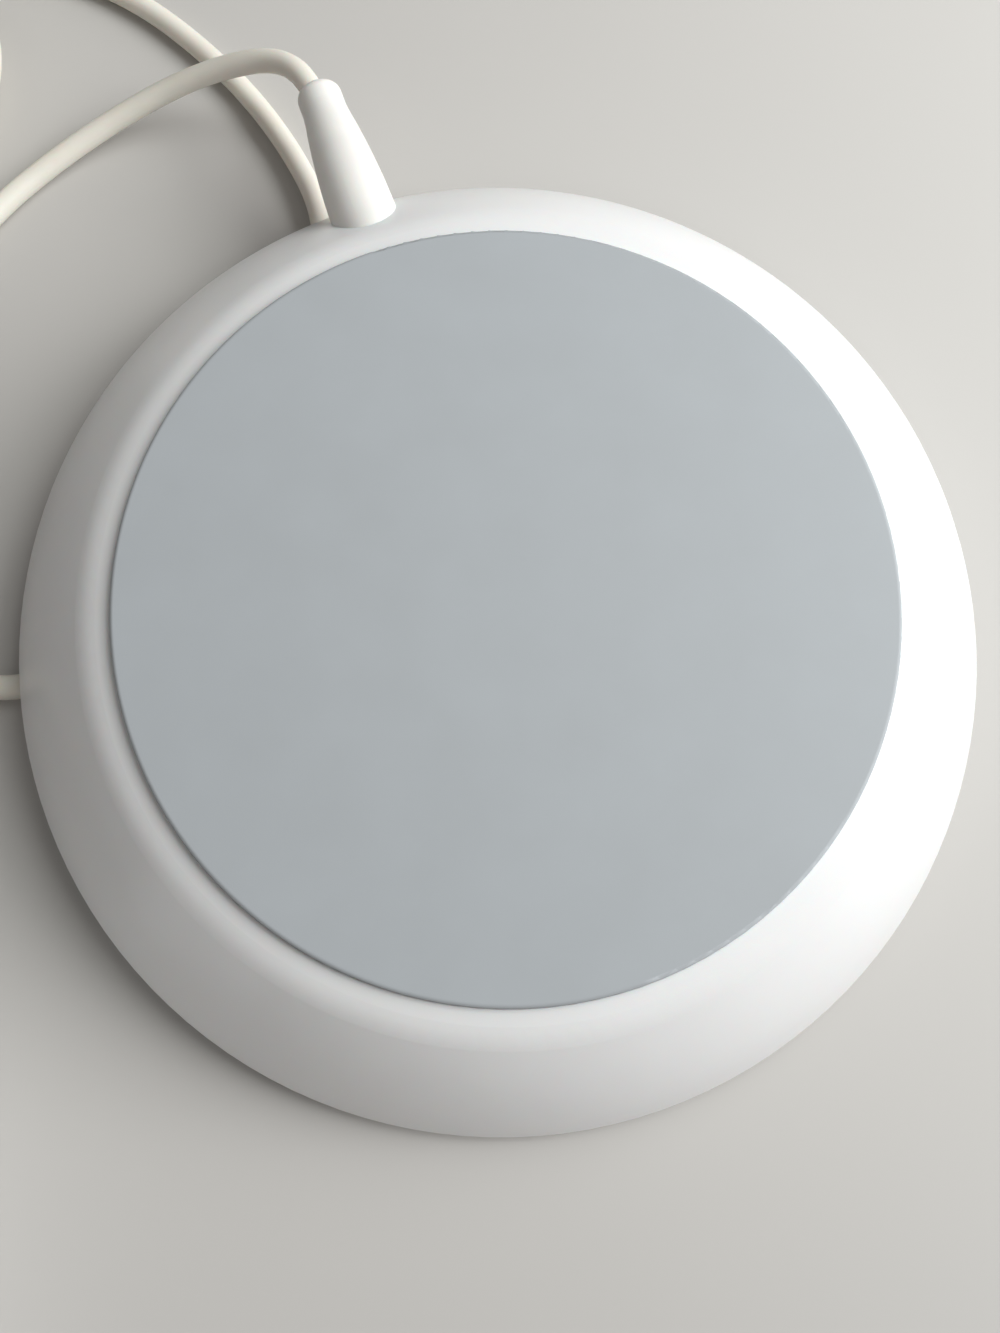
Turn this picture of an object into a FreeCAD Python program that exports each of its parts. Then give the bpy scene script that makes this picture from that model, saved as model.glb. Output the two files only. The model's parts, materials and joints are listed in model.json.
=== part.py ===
"""A charging coaster for a heated mug, with its lead and wall adapter.

The coaster lies upside down on the table, its grey base pad facing up, as it does in the
photograph. It lies on its own lead, so the whole coaster leans a little. Millimetres, +Z up,
origin on the table under the centre of the coaster's rim. The coaster's pieces are modelled
level, with the lead leaving towards +Y, and then placed together by the seat placement.
"""
import FreeCAD, Part
import math
import os

import Sketcher
from FreeCAD import Placement, Rotation, Vector

DOC = FreeCAD.newDocument("ChargingCoaster")
SHEET = DOC.addObject("Spreadsheet::Sheet", "Sizes")
NODES = []
# How much of the coil one pair of arcs covers, in degrees
BIARC_SPAN = 90.0

DRIVING_SIZES = (
    # The shell, from the table side (the rim) up to the base side
    ("rim_radius", 54.8, "outside radius at the rim"),
    ("total_height", 16.5, "rim to the face of the base pad"),
    ("lip_height", 1.0, "upright band at the rim"),
    ("lip_width", 2.0, "width of the rim seen from the dish"),
    ("lip_round", 0.8, "rounding of the rim"),
    ("shoulder_radius", 42.85, "outside radius at the top of the wall, before its rounding"),
    ("wall_bow", 1.1, "how far the outer wall bows out of a straight line"),
    ("inner_bow", 0.7, "the same for its inner face"),
    ("ring_fall", 0.82, "how far the ring beside the base pad slopes down to the shoulder"),
    ("shoulder_round", 7.0, "rounding between that ring and the wall"),
    ("seat_radius", 41.2, "flat floor that the mug stands on"),
    ("seat_depth", 6.3, "depth of that floor below the rim"),
    ("floor_thick", 1.6, "thickness of the dish floor"),
    ("ledge_radius", 37.4, "inside radius of the ledge under the base plate"),
    ("ledge_height", 12.9, "height of the ledge's face"),
    ("ledge_thick", 1.5, "thickness of the ledge"),
    # The base: gasket, plate, adhesive and pad
    ("gasket_thick", 0.6, "flat gasket on the ledge"),
    ("plate_thick", 1.8, "base plate"),
    ("adhesive_thick", 0.15, "adhesive film under the pad"),
    ("pad_radius", 39.9, "grey base pad"),
    ("pad_gap", 0.08, "groove between the pad and the shell"),
    ("pad_proud", 0.8, "how far the pad stands out of the shell"),
    ("pad_round", 0.5, "rounding of the pad's edge"),
    ("base_screw_circle", 33.0, "radius of the circle of base screws"),
    # The board and the contacts
    ("board_height", 11.2, "height of the board's lower face"),
    ("board_thick", 1.0, "circuit board"),
    ("inner_contact", 9.0, "distance of the inner contact from the centre"),
    ("outer_contact", 17.0, "distance of the outer contact from the centre"),
    ("pin_radius", 1.5, "contact pin where it comes out of the floor"),
    ("collar_radius", 2.0, "collar that keeps the pin in its barrel"),
    ("barrel_radius", 2.3, "outside of the contact barrel"),
    ("running_gap", 0.04, "radial clearance of the pin in its barrel"),
    ("pin_proud", 1.2, "how far the pin stands out of the floor"),
    # The lead and its strain reliefs
    ("lead_radius", 1.42, "round two-core lead"),
    ("lead_axis", 9.7, "height of the lead's axis in the coaster"),
    ("boot_start", 43.5, "distance of the strain relief's broad end, inside the wall, from the centre"),
    ("boot_waist", 60.2, "distance of the end of its swollen part"),
    ("boot_collar", 63.0, "distance of the start of its straight tip"),
    ("boot_end", 66.0, "distance of its tip from the centre"),
    ("boot_broad", 3.85, "radius of its broad end"),
    ("boot_waist_radius", 3.03, "radius at the end of its swollen part"),
    ("boot_narrow", 2.7, "radius of its tip"),
    ("boot_bow", 0.355, "how far its swollen part bows out of a straight taper"),
    ("boot_gap", 0.02, "clearance of the strain relief in the wall"),
    # How the coaster lies
    ("lean", 1.73, "lean in degrees, because the rim lies on the lead"),
    ("lean_towards", -29.0, "direction of the low side, in degrees from +X"),
    ("lead_turn", 20.0, "turn of the coaster about its axis, in degrees"),
    # The coil of spare lead
    ("coil_x", -86.4, "centre of the coil"),
    ("coil_y", 69.4, "centre of the coil"),
    ("coil_outer", 21.0, "radius of its outermost turn"),
    ("coil_step", 4.0, "from one turn to the next in a layer"),
    ("coil_layer", 3.3, "from one layer to the next"),
    ("tie_thick", 0.7, "tie round the turns"),
    ("tie_width", 7.0, "tie round the turns"),
    # The wall adapter, lying on its back with its blades up
    ("adapter_x", -80.0, "middle of the adapter"),
    ("adapter_y", -46.0, "end face where the lead leaves"),
    ("adapter_width", 38.0, "across"),
    ("adapter_length", 48.0, "along the lead"),
    ("adapter_depth", 27.0, "back to front"),
    ("adapter_wall", 2.0, "wall of the case"),
    ("adapter_split", 18.0, "height of the joint between its halves"),
    ("adapter_axis", 10.0, "height of the lead's axis in the adapter"),
    ("blade_spacing", 12.7, "between the two blades"),
    ("blade_length", 17.0, "blade outside the case"),
    ("blade_width", 6.35, "width of a blade"),
    ("blade_thick", 1.5, "thickness of a blade"),
)


class Size:
    """A number that knows the spreadsheet expression it comes from."""

    def __init__(self, value, text=None):
        self.value = float(value)
        self.text = text or repr(float(value))

    def __float__(self):
        return self.value

    def _with(self, other, sign, value):
        other = as_size(other)
        return Size(value(self.value, other.value), "(%s %s %s)" % (self.text, sign, other.text))

    def __add__(self, other):
        return self._with(other, "+", lambda a, b: a + b)

    def __sub__(self, other):
        return self._with(other, "-", lambda a, b: a - b)

    def __mul__(self, other):
        return self._with(other, "*", lambda a, b: a * b)

    def __radd__(self, other):
        return as_size(other) + self

    def __rsub__(self, other):
        return as_size(other) - self

    def __rmul__(self, other):
        return as_size(other) * self

    def __truediv__(self, other):
        return self._with(other, "/", lambda a, b: a / b)

    def __neg__(self):
        return as_size(0.0) - self

    def root(self):
        """The square root, as a size."""
        return Size(math.sqrt(self.value), "sqrt(%s)" % self.text)


def as_size(number):
    """A plain number, or a size as it is, as a Size."""
    return number if isinstance(number, Size) else Size(number)


def fill_sheet():
    """Write the driving sizes to the sheet, one to a row, each with its alias."""
    for row, (alias, value, note) in enumerate(DRIVING_SIZES, start=1):
        SHEET.set("A%d" % row, note)
        SHEET.set("B%d" % row, str(value))
        SHEET.setAlias("B%d" % row, alias)
    DOC.recompute()


def cell(alias):
    """The value of one cell of the sheet, as a Size."""
    return Size(getattr(SHEET, alias), "Sizes.%s" % alias)


def bind(thing, **sizes):
    """Tie properties of an object to the sheet."""
    for name, size in sizes.items():
        thing.setExpression(name, as_size(size).text)


def spot(x, y, z):
    """A point, from sizes or numbers."""
    return Vector(float(x), float(y), float(z))


# Primitives and booleans


def cylinder(label, radius, height, x, y, z, along=Vector(0, 0, 1)):
    """A cylinder whose axis starts at a point and runs along a direction."""
    thing = DOC.addObject("Part::Cylinder", label)
    bind(thing, Radius=radius, Height=height)
    thing.Placement = Placement(spot(x, y, z), Rotation(Vector(0, 0, 1), along))
    return thing


def cone(label, radius, far_radius, height, x, y, z, along=Vector(0, 0, 1)):
    """A cone or taper whose axis starts at a point and runs along a direction."""
    thing = DOC.addObject("Part::Cone", label)
    bind(thing, Radius1=radius, Radius2=far_radius, Height=height)
    thing.Placement = Placement(spot(x, y, z), Rotation(Vector(0, 0, 1), along))
    return thing


def block(label, width, depth, height, x, y, z):
    """A box centred on x, with its near face at y and its lower face at z."""
    thing = DOC.addObject("Part::Box", label)
    bind(thing, Length=width, Width=depth, Height=height)
    thing.Placement.Base = spot(float(x) - float(width) / 2, y, z)
    return thing


def joined(label, pieces):
    """Several overlapping or touching solids as one."""
    thing = DOC.addObject("Part::MultiFuse", label)
    thing.Shapes = pieces
    return thing


def group(label, pieces):
    """Separate solids under one name."""
    thing = DOC.addObject("Part::Compound", label)
    thing.Links = pieces
    return thing


def without(label, base, tools):
    """A solid with others taken away from it."""
    thing = DOC.addObject("Part::Cut", label)
    thing.Base = base
    thing.Tool = tools[0] if len(tools) == 1 else joined(label + "_tools", tools)
    return thing


def rounded(label, base, radius, chosen):
    """A solid with the chosen edges rounded. chosen is a test on an edge."""
    DOC.recompute()
    thing = DOC.addObject("Part::Fillet", label)
    thing.Base = base
    edges = [i for i, edge in enumerate(base.Shape.Edges, start=1) if chosen(edge)]
    thing.Edges = [(i, float(radius), float(radius)) for i in edges]
    return thing


def runs_along(edge, way):
    """True for a straight edge along a direction."""
    ends = [vertex.Point for vertex in edge.Vertexes]
    return len(ends) == 2 and (ends[1] - ends[0]).cross(way).Length < 1e-6


def upright(edge):
    """True for a straight edge along Z."""
    return runs_along(edge, Vector(0, 0, 1))


def lengthwise(edge):
    """True for a straight edge along Y."""
    return runs_along(edge, Vector(0, 1, 0))


def level(edge):
    """True for an edge that lies in a level plane."""
    return edge.BoundBox.ZLength < 1e-6


def circular(edge):
    """True for a round edge."""
    return isinstance(edge.Curve, Part.Circle)


def ring_at(radius, height):
    """A test for round edges of one radius at one height."""

    def chosen(edge):
        curve = edge.Curve
        return (
            isinstance(curve, Part.Circle)
            and abs(curve.Radius - float(radius)) < 1e-3
            and abs(curve.Center.z - float(height)) < 1e-3
        )

    return chosen


# Turned pieces


def turned(label, corners, roundings=()):
    """A body turned about Z from an outline of (r, z) or (r, z, bow) corners.

    A bow bends the way to the next corner by so much at its middle: to the left of that way
    where it is positive and to the right where it is negative. A corner on the axis has r = 0.
    roundings are (r, z, rounding radius) of the turned solid.
    """
    body = DOC.addObject("PartDesign::Body", label)
    sketch = body.newObject("Sketcher::SketchObject", label + "_outline")
    plane = [f for f in body.Origin.OriginFeatures if f.Role == "XZ_Plane"][0]
    sketch.AttachmentSupport = (plane, [""])
    sketch.MapMode = "FlatFace"
    points = [Vector(float(corner[0]), float(corner[1]), 0) for corner in corners]
    for corner, start, end in zip(corners, points, points[1:] + points[:1]):
        if len(corner) == 3:
            curve = Part.BSplineCurve([start, pull(start, end, corner[2]), end], None, None, False, 2)
        else:
            curve = Part.LineSegment(start, end)
        sketch.addGeometry(curve, False)
    for i, corner in enumerate(corners):
        following = (i + 1) % len(corners)
        sketch.addConstraint(Sketcher.Constraint("Coincident", i, 2, following, 1))
        if float(corner[0]) == 0.0:
            sketch.addConstraint(Sketcher.Constraint("PointOnObject", i, 1, -2))
        else:
            hold(sketch, "DistanceX", i, 1, corner[0])
        hold(sketch, "DistanceY", i, 1, corner[1])
    for i, corner in enumerate(corners):
        if len(corner) == 3:
            hold_pull(sketch, i, corner, corners[(i + 1) % len(corners)])
    solid = body.newObject("PartDesign::Revolution", label + "_turned")
    solid.Profile = sketch
    solid.ReferenceAxis = (sketch, ["V_Axis"])
    solid.Angle = 360.0
    DOC.recompute()
    for count, (r, z, radius) in enumerate(roundings):
        fillet = body.newObject("PartDesign::Fillet", "%s_round_%d" % (label, count))
        chosen = ring_at(r, z)
        names = ["Edge%d" % i for i, e in enumerate(solid.Shape.Edges, start=1) if chosen(e)]
        fillet.Base = (solid, names)
        bind(fillet, Radius=radius)
        solid = fillet
        DOC.recompute()
    return body


def pull(start, end, bow):
    """The point that pulls a curve between two points out by a bow at its middle."""
    chord = end - start
    return (start + end) * 0.5 + Vector(-chord.y, chord.x, 0).normalize() * (2 * float(bow))


def hold(sketch, kind, geometry, point, size):
    """Tie a point's distance from the sketch's origin to the sheet."""
    at = sketch.addConstraint(Sketcher.Constraint(kind, -1, 1, geometry, point, float(size)))
    sketch.setExpression("Constraints[%d]" % at, as_size(size).text)


def hold_pull(sketch, curve, corner, following):
    """Tie the point that pulls a bowed side to the sheet, by the way between its two corners."""
    across, up = following[0] - corner[0], following[1] - corner[1]
    length = (across * across + up * up).root()
    aside = corner[2] * 2.0 / length
    r = (corner[0] + following[0]) * 0.5 - up * aside
    z = (corner[1] + following[1]) * 0.5 + across * aside
    mark = sketch.addGeometry(Part.Circle(Vector(float(r), float(z), 0), Vector(0, 0, 1), 1.0), True)
    sketch.addConstraint(
        Sketcher.Constraint("InternalAlignment:Sketcher::BSplineControlPoint", mark, 3, curve, 1)
    )
    sketch.addConstraint(Sketcher.Constraint("Weight", mark, 1.0))
    hold(sketch, "DistanceX", mark, 3, r)
    hold(sketch, "DistanceY", mark, 3, z)


# Leads and coils


def biarc(start, start_way, end, end_way):
    """Two arcs that leave start along start_way and reach end along end_way."""
    span = end - start
    ways = start_way + end_way
    along = span.dot(ways)
    bend = 2 * (1 - start_way.dot(end_way))
    reach = (-along + math.sqrt(along**2 + bend * span.dot(span))) / bend
    middle = (start + start_way * reach + end - end_way * reach) * 0.5
    back = biarc_half(end, end_way * -1, middle)
    return [Part.Arc(start, biarc_half(start, start_way, middle), middle), Part.Arc(middle, back, end)]


def biarc_half(start, way, end):
    """The middle point of the arc that leaves start along way and reaches end."""
    chord = end - start
    ahead = Vector(chord).normalize()
    off = way - ahead * way.dot(ahead)
    half_turn = math.acos(max(-1.0, min(1.0, way.dot(ahead))))
    rise = chord.Length / 2 * math.tan(half_turn / 2)
    return (start + end) * 0.5 + off.normalize() * rise


def rounded_path(points):
    """Straight runs joined by tangent arcs, each as large as its two runs allow, and its radii."""
    edges, radii, last = [], [], points[0]
    for before, corner, after in zip(points, points[1:], points[2:]):
        back, ahead = before - corner, after - corner
        setback = 0.45 * min(back.Length, ahead.Length)
        back, ahead = back.normalize(), ahead.normalize()
        half_turn = (math.pi - math.acos(max(-1.0, min(1.0, back.dot(ahead))))) / 2
        radius = setback / math.tan(half_turn)
        start, end = corner + back * setback, corner + ahead * setback
        middle_way = (back + ahead).normalize()
        middle = corner + middle_way * (radius / math.cos(half_turn) - radius)
        edges += [Part.LineSegment(last, start), Part.Arc(start, middle, end)]
        radii.append(radius)
        last = end
    edges.append(Part.LineSegment(last, points[-1]))
    return edges, radii


def tube(label, edges, radius):
    """A round tube along a path of lines and arcs."""
    path = Part.Wire([edge.toShape() for edge in edges])
    start = edges[0].value(edges[0].FirstParameter)
    way = edges[0].tangent(edges[0].FirstParameter)[0]
    section = Part.Wire([Part.makeCircle(float(radius), start, way)])
    shell = Part.BRepOffsetAPI.MakePipeShell(path)
    shell.add(section)
    shell.build()
    shell.makeSolid()
    thing = DOC.addObject("Part::Feature", label)
    thing.Shape = shell.shape()
    expected = math.pi * float(radius) ** 2 * path.Length
    print("%s: %.1f mm long, volume %.4f of section times length"
          % (label, path.Length, thing.Shape.Volume / expected))
    return thing, path.Length


def least_gap(edges, radius):
    """The least gap between turns of a tube, measured on points along its path."""
    spacing = 1.0
    line = []
    for edge in edges:
        count = max(2, int(edge.toShape().Length / spacing))
        line += [edge.value(edge.FirstParameter + (edge.LastParameter - edge.FirstParameter) * i / count)
                 for i in range(count)]
    far = int(4 * math.pi * float(radius) / spacing)
    nearest = min(line[i].distanceToPoint(line[j])
                  for i in range(len(line)) for j in range(i + far, len(line)))
    return nearest - 2 * float(radius)


def winding(place, turns_angle, count):
    """Arcs through evenly spaced angles of a winding. place gives the point at an angle in degrees."""
    step = turns_angle / count
    small = 0.5
    points = [place(step * i) for i in range(count + 1)]
    ways = [(place(step * i + small) - place(step * i - small)).normalize() for i in range(count + 1)]
    edges = []
    for i in range(count):
        edges += biarc(points[i], ways[i], points[i + 1], ways[i + 1])
    return edges


fill_sheet()

RIM = cell("rim_radius")
PAD_TOP = cell("total_height")
RING_TOP = PAD_TOP - cell("pad_proud")
SEAT_Z = cell("seat_depth")
FLOOR_Z = SEAT_Z + cell("floor_thick")
LEDGE_Z = cell("ledge_height")
PLATE_Z = LEDGE_Z + cell("gasket_thick")
PLATE_TOP = PLATE_Z + cell("plate_thick")
PAD_Z = PLATE_TOP + cell("adhesive_thick")
BOARD_Z = cell("board_height")
BOARD_TOP = BOARD_Z + cell("board_thick")
OPENING = cell("pad_radius") + cell("pad_gap")
LEAD_R = cell("lead_radius")
LEAD_Z = cell("lead_axis")
TO_LEAD = Vector(0, 1, 0)
CONTACTS = (("inner", -cell("inner_contact")), ("outer", -cell("outer_contact")))


def node(name, thing, in_coaster=True):
    """List a finished piece under its name. The coaster's pieces lean with it."""
    NODES.append((name, thing, in_coaster))
    return thing


# Shell


def shell_wall():
    """The moulded bowl: outer wall, rim, dish wall and dish floor, before bosses and holes."""
    lip = cell("lip_height")
    shoulder, shoulder_z = cell("shoulder_radius"), RING_TOP - cell("ring_fall")
    dish_rim = RIM - cell("lip_width")
    mouth_r, mouth_z = cell("seat_radius") + 0.4, SEAT_Z - 1.7
    skirt_r, skirt_z = RIM - 4.1, Size(2.55)
    well_r, well_z = cell("seat_radius") + 2.0, SEAT_Z - 0.65
    groove_r, groove_z = OPENING + 1.55, RING_TOP - 2.2
    ledge_under = LEDGE_Z - cell("ledge_thick")
    corners = [
        (OPENING, RING_TOP),
        (shoulder, shoulder_z, cell("wall_bow")),
        (RIM, lip),
        (RIM, Size(0.0)),
        (dish_rim, Size(0.0)),
        (mouth_r, mouth_z),
        (cell("seat_radius"), SEAT_Z),
        (Size(0.0), SEAT_Z),
        (Size(0.0), FLOOR_Z),
        (well_r, FLOOR_Z),
        (well_r, well_z),
        (skirt_r, skirt_z),
        (RIM - 3.0, skirt_z, -cell("inner_bow")),
        (shoulder - 0.6, groove_z),
        (groove_r, groove_z),
        (groove_r, ledge_under),
        (cell("ledge_radius"), ledge_under),
        (cell("ledge_radius"), LEDGE_Z),
        (OPENING, LEDGE_Z),
    ]
    roundings = [
        (shoulder, shoulder_z, cell("shoulder_round")),
        (RIM, 0.0, cell("lip_round")),
        (dish_rim, 0.0, cell("lip_round")),
        (mouth_r, mouth_z, Size(1.2)),
    ]
    return turned("shell_wall", corners, roundings)


def round_the_circle(radius, start, count):
    """Evenly spaced points on a circle about the coaster's axis."""
    return [
        (
            float(radius) * math.cos(math.radians(start + 360.0 / count * i)),
            float(radius) * math.sin(math.radians(start + 360.0 / count * i)),
        )
        for i in range(count)
    ]


BASE_SCREWS = round_the_circle(cell("base_screw_circle"), 45.0, 4)
BOARD_SCREWS = [(x, y) for x in (-13.0, 13.0) for y in (-18.5, 18.5)]
CLAMP_Y = 30.6
CLAMP_DEEP = 3.6
CLAMP_SCREWS = [(-6.0, CLAMP_Y + CLAMP_DEEP / 2), (6.0, CLAMP_Y + CLAMP_DEEP / 2)]
SCREW_CORE = Size(1.0)
SMALL_CORE = Size(0.9)
CLAMP_Z = LEAD_Z + 1.0
BOSS_SINK = 0.5
SHELL_WALL = shell_wall()


def boot_sleeve(label, grown=Size(0.0), roundings=()):
    """The sleeve: swollen where it comes out of the wall, straight at its tip. It can be grown all round."""
    start, end = cell("boot_start") - grown, cell("boot_end")
    broad, narrow = cell("boot_broad") + grown, cell("boot_narrow") + grown
    corners = [
        (Size(0.0), start),
        (broad, start, -cell("boot_bow")),
        (cell("boot_waist_radius") + grown, cell("boot_waist"), Size(0.04)),
        (narrow, cell("boot_collar")),
        (narrow, end),
        (Size(0.0), end),
    ]
    sleeve = turned(label, corners, roundings)
    sleeve.Placement = Placement(spot(0, 0, LEAD_Z), Rotation(Vector(0, 0, 1), TO_LEAD))
    return sleeve


def outer_shell():
    """The bowl with its screw bosses, and its holes for the contacts and the strain relief."""
    bosses, holes = [], []
    rows = (
        ("base", BASE_SCREWS, Size(2.8), PLATE_Z, SCREW_CORE),
        ("board", BOARD_SCREWS, Size(2.2), BOARD_Z, SMALL_CORE),
        ("clamp", CLAMP_SCREWS, Size(2.0), CLAMP_Z, SMALL_CORE),
    )
    for name, places, radius, top, core in rows:
        for i, (x, y) in enumerate(places):
            low = FLOOR_Z - BOSS_SINK
            bosses.append(cylinder("%s_boss_%d" % (name, i), radius, top - low, x, y, low))
            depth = top - FLOOR_Z - 0.8
            holes.append(cylinder("%s_pilot_%d" % (name, i), core, depth, x, y, top - depth))
    rib = LEAD_Z - LEAD_R - FLOOR_Z
    bosses.append(block("lead_rib", Size(6.0), Size(CLAMP_DEEP), rib + BOSS_SINK, 0, CLAMP_Y,
                        FLOOR_Z - BOSS_SINK))
    for name, y in CONTACTS:
        through = cell("floor_thick") + 2.0
        holes.append(cylinder("hole_" + name, cell("barrel_radius"), through, 0, y, SEAT_Z - 1.0))
    holes.append(boot_sleeve("lead_hole", cell("boot_gap")))
    return without("shell", joined("shell_solid", [SHELL_WALL] + bosses), holes)


# Base


def base_plate():
    """The disc that closes the shell, with a spigot inside the ledge and countersunk holes."""
    disc = cylinder("plate_disc", cell("pad_radius"), cell("plate_thick"), 0, 0, PLATE_Z)
    spigot_height = Size(1.1)
    low = PLATE_Z - spigot_height
    spigot = cylinder("plate_spigot", cell("ledge_radius") - 0.2, spigot_height + 0.4, 0, 0, low)
    hollow = cylinder("plate_hollow", cell("ledge_radius") - 1.4, spigot_height, 0, 0, low)
    tools = [hollow]
    for i, (x, y) in enumerate(BASE_SCREWS):
        tools.append(cylinder("plate_hole_%d" % i, SCREW_CORE + 0.15, Size(3.0), x, y, PLATE_Z - 0.6))
        tools.append(cone("plate_sink_%d" % i, SCREW_CORE, Size(2.1), Size(1.0), x, y, PLATE_TOP - 1.0))
    return without("plate", joined("plate_solid", [disc, spigot]), tools)


def flat_ring(label, inside, outside, thick, z):
    """A flat ring."""
    disc = cylinder(label + "_disc", outside, thick, 0, 0, z)
    hole = cylinder(label + "_hole", inside, thick + 1.0, 0, 0, z - 0.5)
    return without(label, disc, [hole])


def base_pad():
    """The grey pad, with its upper edge softened."""
    thick = PAD_TOP - PAD_Z
    corners = [
        (Size(0.0), PAD_Z),
        (cell("pad_radius"), PAD_Z),
        (cell("pad_radius"), PAD_Z + thick),
        (Size(0.0), PAD_Z + thick),
    ]
    return turned("pad", corners, [(cell("pad_radius"), PAD_TOP, cell("pad_round"))])


def base_screws():
    """Countersunk screws from the base plate into the shell's bosses."""
    screws = []
    for i, (x, y) in enumerate(BASE_SCREWS):
        head = cone("base_head_%d" % i, SCREW_CORE, Size(2.1), Size(1.0), x, y, PLATE_TOP - 1.0)
        shank = PLATE_TOP - FLOOR_Z - 1.2
        screw = joined("base_screw_%d" % i, [
            head,
            cylinder("base_shank_%d" % i, SCREW_CORE, shank - 0.6, x, y, PLATE_TOP - shank),
        ])
        screws.append(without("base_drive_%d" % i, screw, cross(i, "base", x, y, PLATE_TOP)))
    return group("base_screw_group", screws)


def cross(i, name, x, y, top):
    """The two slots of a cross recess."""
    long, narrow, deep = Size(2.0), Size(0.5), Size(0.7)
    return [
        block("%s_slot_%d" % (name, i), long, narrow, deep + 1.0, x, y - 0.25, top - deep),
        block("%s_slit_%d" % (name, i), narrow, long, deep + 1.0, x, y - 1.0, top - deep),
    ]


def pan_screws(name, places, under_head, head_thick, tip):
    """Pan-head screws whose heads sit at one height."""
    screws = []
    for i, (x, y) in enumerate(places):
        top = under_head + head_thick
        pieces = [
            cylinder("%s_head_%d" % (name, i), Size(1.8), head_thick, x, y, under_head),
            cylinder("%s_shank_%d" % (name, i), SMALL_CORE, under_head - tip, x, y, tip),
        ]
        screw = joined("%s_screw_%d" % (name, i), pieces)
        screws.append(without("%s_drive_%d" % (name, i), screw, cross(i, name, x, y, top)))
    return group(name + "_screw_group", screws)


def ballast_plate():
    """The steel ring that gives the coaster weight, open for the board and the lead."""
    thick = Size(2.5)
    disc = cylinder("ballast_disc", cell("ledge_radius") - 0.4, thick, 0, 0, FLOOR_Z)
    deep = thick + 2.0
    low = FLOOR_Z - 1.0
    tools = [
        block("ballast_window", Size(38.0), Size(50.0), deep, 0, -24.0, low),
        block("ballast_slot", Size(19.0), Size(30.0), deep, 0, 20.0, low),
    ]
    for i, (x, y) in enumerate(BASE_SCREWS):
        tools.append(cylinder("ballast_hole_%d" % i, Size(3.05), deep, x, y, low))
    return without("ballast", disc, tools)


# Contacts


def contact_block():
    """The carrier that holds both barrels square to the floor and presses their seals."""
    height, half = Size(2.4), Size(5.5)
    near, far = cell("inner_contact"), cell("outer_contact")
    solid = joined("carrier_solid", [
        cylinder("carrier_near", half, height, 0, -near, FLOOR_Z),
        cylinder("carrier_far", half, height, 0, -far, FLOOR_Z),
        block("carrier_middle", half * 2, far - near, height, 0, -far, FLOOR_Z),
    ])
    tools = []
    bore = cell("barrel_radius")
    for name, y in CONTACTS:
        tools.append(cylinder("carrier_hole_" + name, bore, height + 1.0, 0, y, FLOOR_Z - 0.5))
        tools.append(cylinder("carrier_seat_" + name, bore + 1.2, Size(1.2), 0, y, FLOOR_Z))
    return without("carrier", solid, tools)


def contact_seals():
    """A rubber ring round each barrel, where it goes through the floor."""
    rings = []
    for name, y in CONTACTS:
        ring = DOC.addObject("Part::Torus", "seal_" + name)
        bind(ring, Radius1=cell("barrel_radius") + 0.6, Radius2=Size(0.55))
        ring.Placement.Base = spot(0, y, FLOOR_Z + 0.6)
        rings.append(ring)
    return group("seal_group", rings)


LIP_Z = SEAT_Z + 0.6
COLLAR_TOP = LIP_Z + 0.8
BARREL_END = BOARD_Z - 0.4


def contact_barrel(name):
    """A brass barrel with a lip at its mouth, a flange under the board and a solder tail."""
    carrier_top = FLOOR_Z + 2.4
    flange, tail = cell("barrel_radius") + 0.5, Size(0.5)
    bore = cell("collar_radius") + cell("running_gap")
    mouth = cell("pin_radius") + cell("running_gap")
    corners = [
        (mouth, SEAT_Z),
        (cell("barrel_radius"), SEAT_Z),
        (cell("barrel_radius"), carrier_top),
        (flange, carrier_top),
        (flange, BOARD_Z),
        (tail, BOARD_Z),
        (tail, BOARD_TOP + 0.7),
        (Size(0.0), BOARD_TOP + 0.7),
        (Size(0.0), BARREL_END),
        (bore, BARREL_END),
        (bore, LIP_Z),
        (mouth, LIP_Z),
    ]
    return turned("barrel_" + name, corners)


def contact_pin(name):
    """A gilt pin with a domed tip, a collar that stays in the barrel and a spring guide."""
    tip = SEAT_Z - cell("pin_proud")
    shoulder, dome = tip + 0.65, Size(0.16)
    guide = Size(0.9)
    corners = [
        (Size(0.0), tip, -dome),
        (cell("pin_radius"), shoulder),
        (cell("pin_radius"), LIP_Z),
        (cell("collar_radius"), LIP_Z),
        (cell("collar_radius"), COLLAR_TOP),
        (guide, COLLAR_TOP),
        (guide, COLLAR_TOP + 0.9),
        (Size(0.0), COLLAR_TOP + 0.9),
    ]
    return turned("pin_" + name, corners)


def contact_spring(name, y):
    """The coil spring between the collar and the end of the barrel."""
    wire, mean, turns = 0.175, 1.45, 5
    low, high = float(COLLAR_TOP) + wire, float(BARREL_END) - wire

    def place(angle):
        a = math.radians(angle)
        return Vector(mean * math.cos(a), mean * math.sin(a), low + (high - low) * angle / (360.0 * turns))

    spring, _ = tube("spring_" + name, winding(place, 360.0 * turns, 4 * turns), wire)
    spring.Placement.Base = spot(0, y, 0)
    return spring


# Circuit board and what it carries


def circuit_board():
    """The board, with its corners rounded, its screw holes and the holes for the barrel tails."""
    width, depth = Size(32.0), Size(43.0)
    plain = block("board_blank", width, depth, cell("board_thick"), 0, -21.5, BOARD_Z)
    shaped = rounded("board_shape", plain, 2.0, upright)
    tools = []
    for i, (x, y) in enumerate(BOARD_SCREWS):
        tools.append(cylinder("board_hole_%d" % i, SMALL_CORE + 0.1, Size(3.0), x, y, BOARD_Z - 1.0))
    for name, y in CONTACTS:
        tools.append(cylinder("tail_hole_" + name, Size(0.5), Size(3.0), 0, y, BOARD_Z - 1.0))
    return without("board", shaped, tools)


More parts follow.
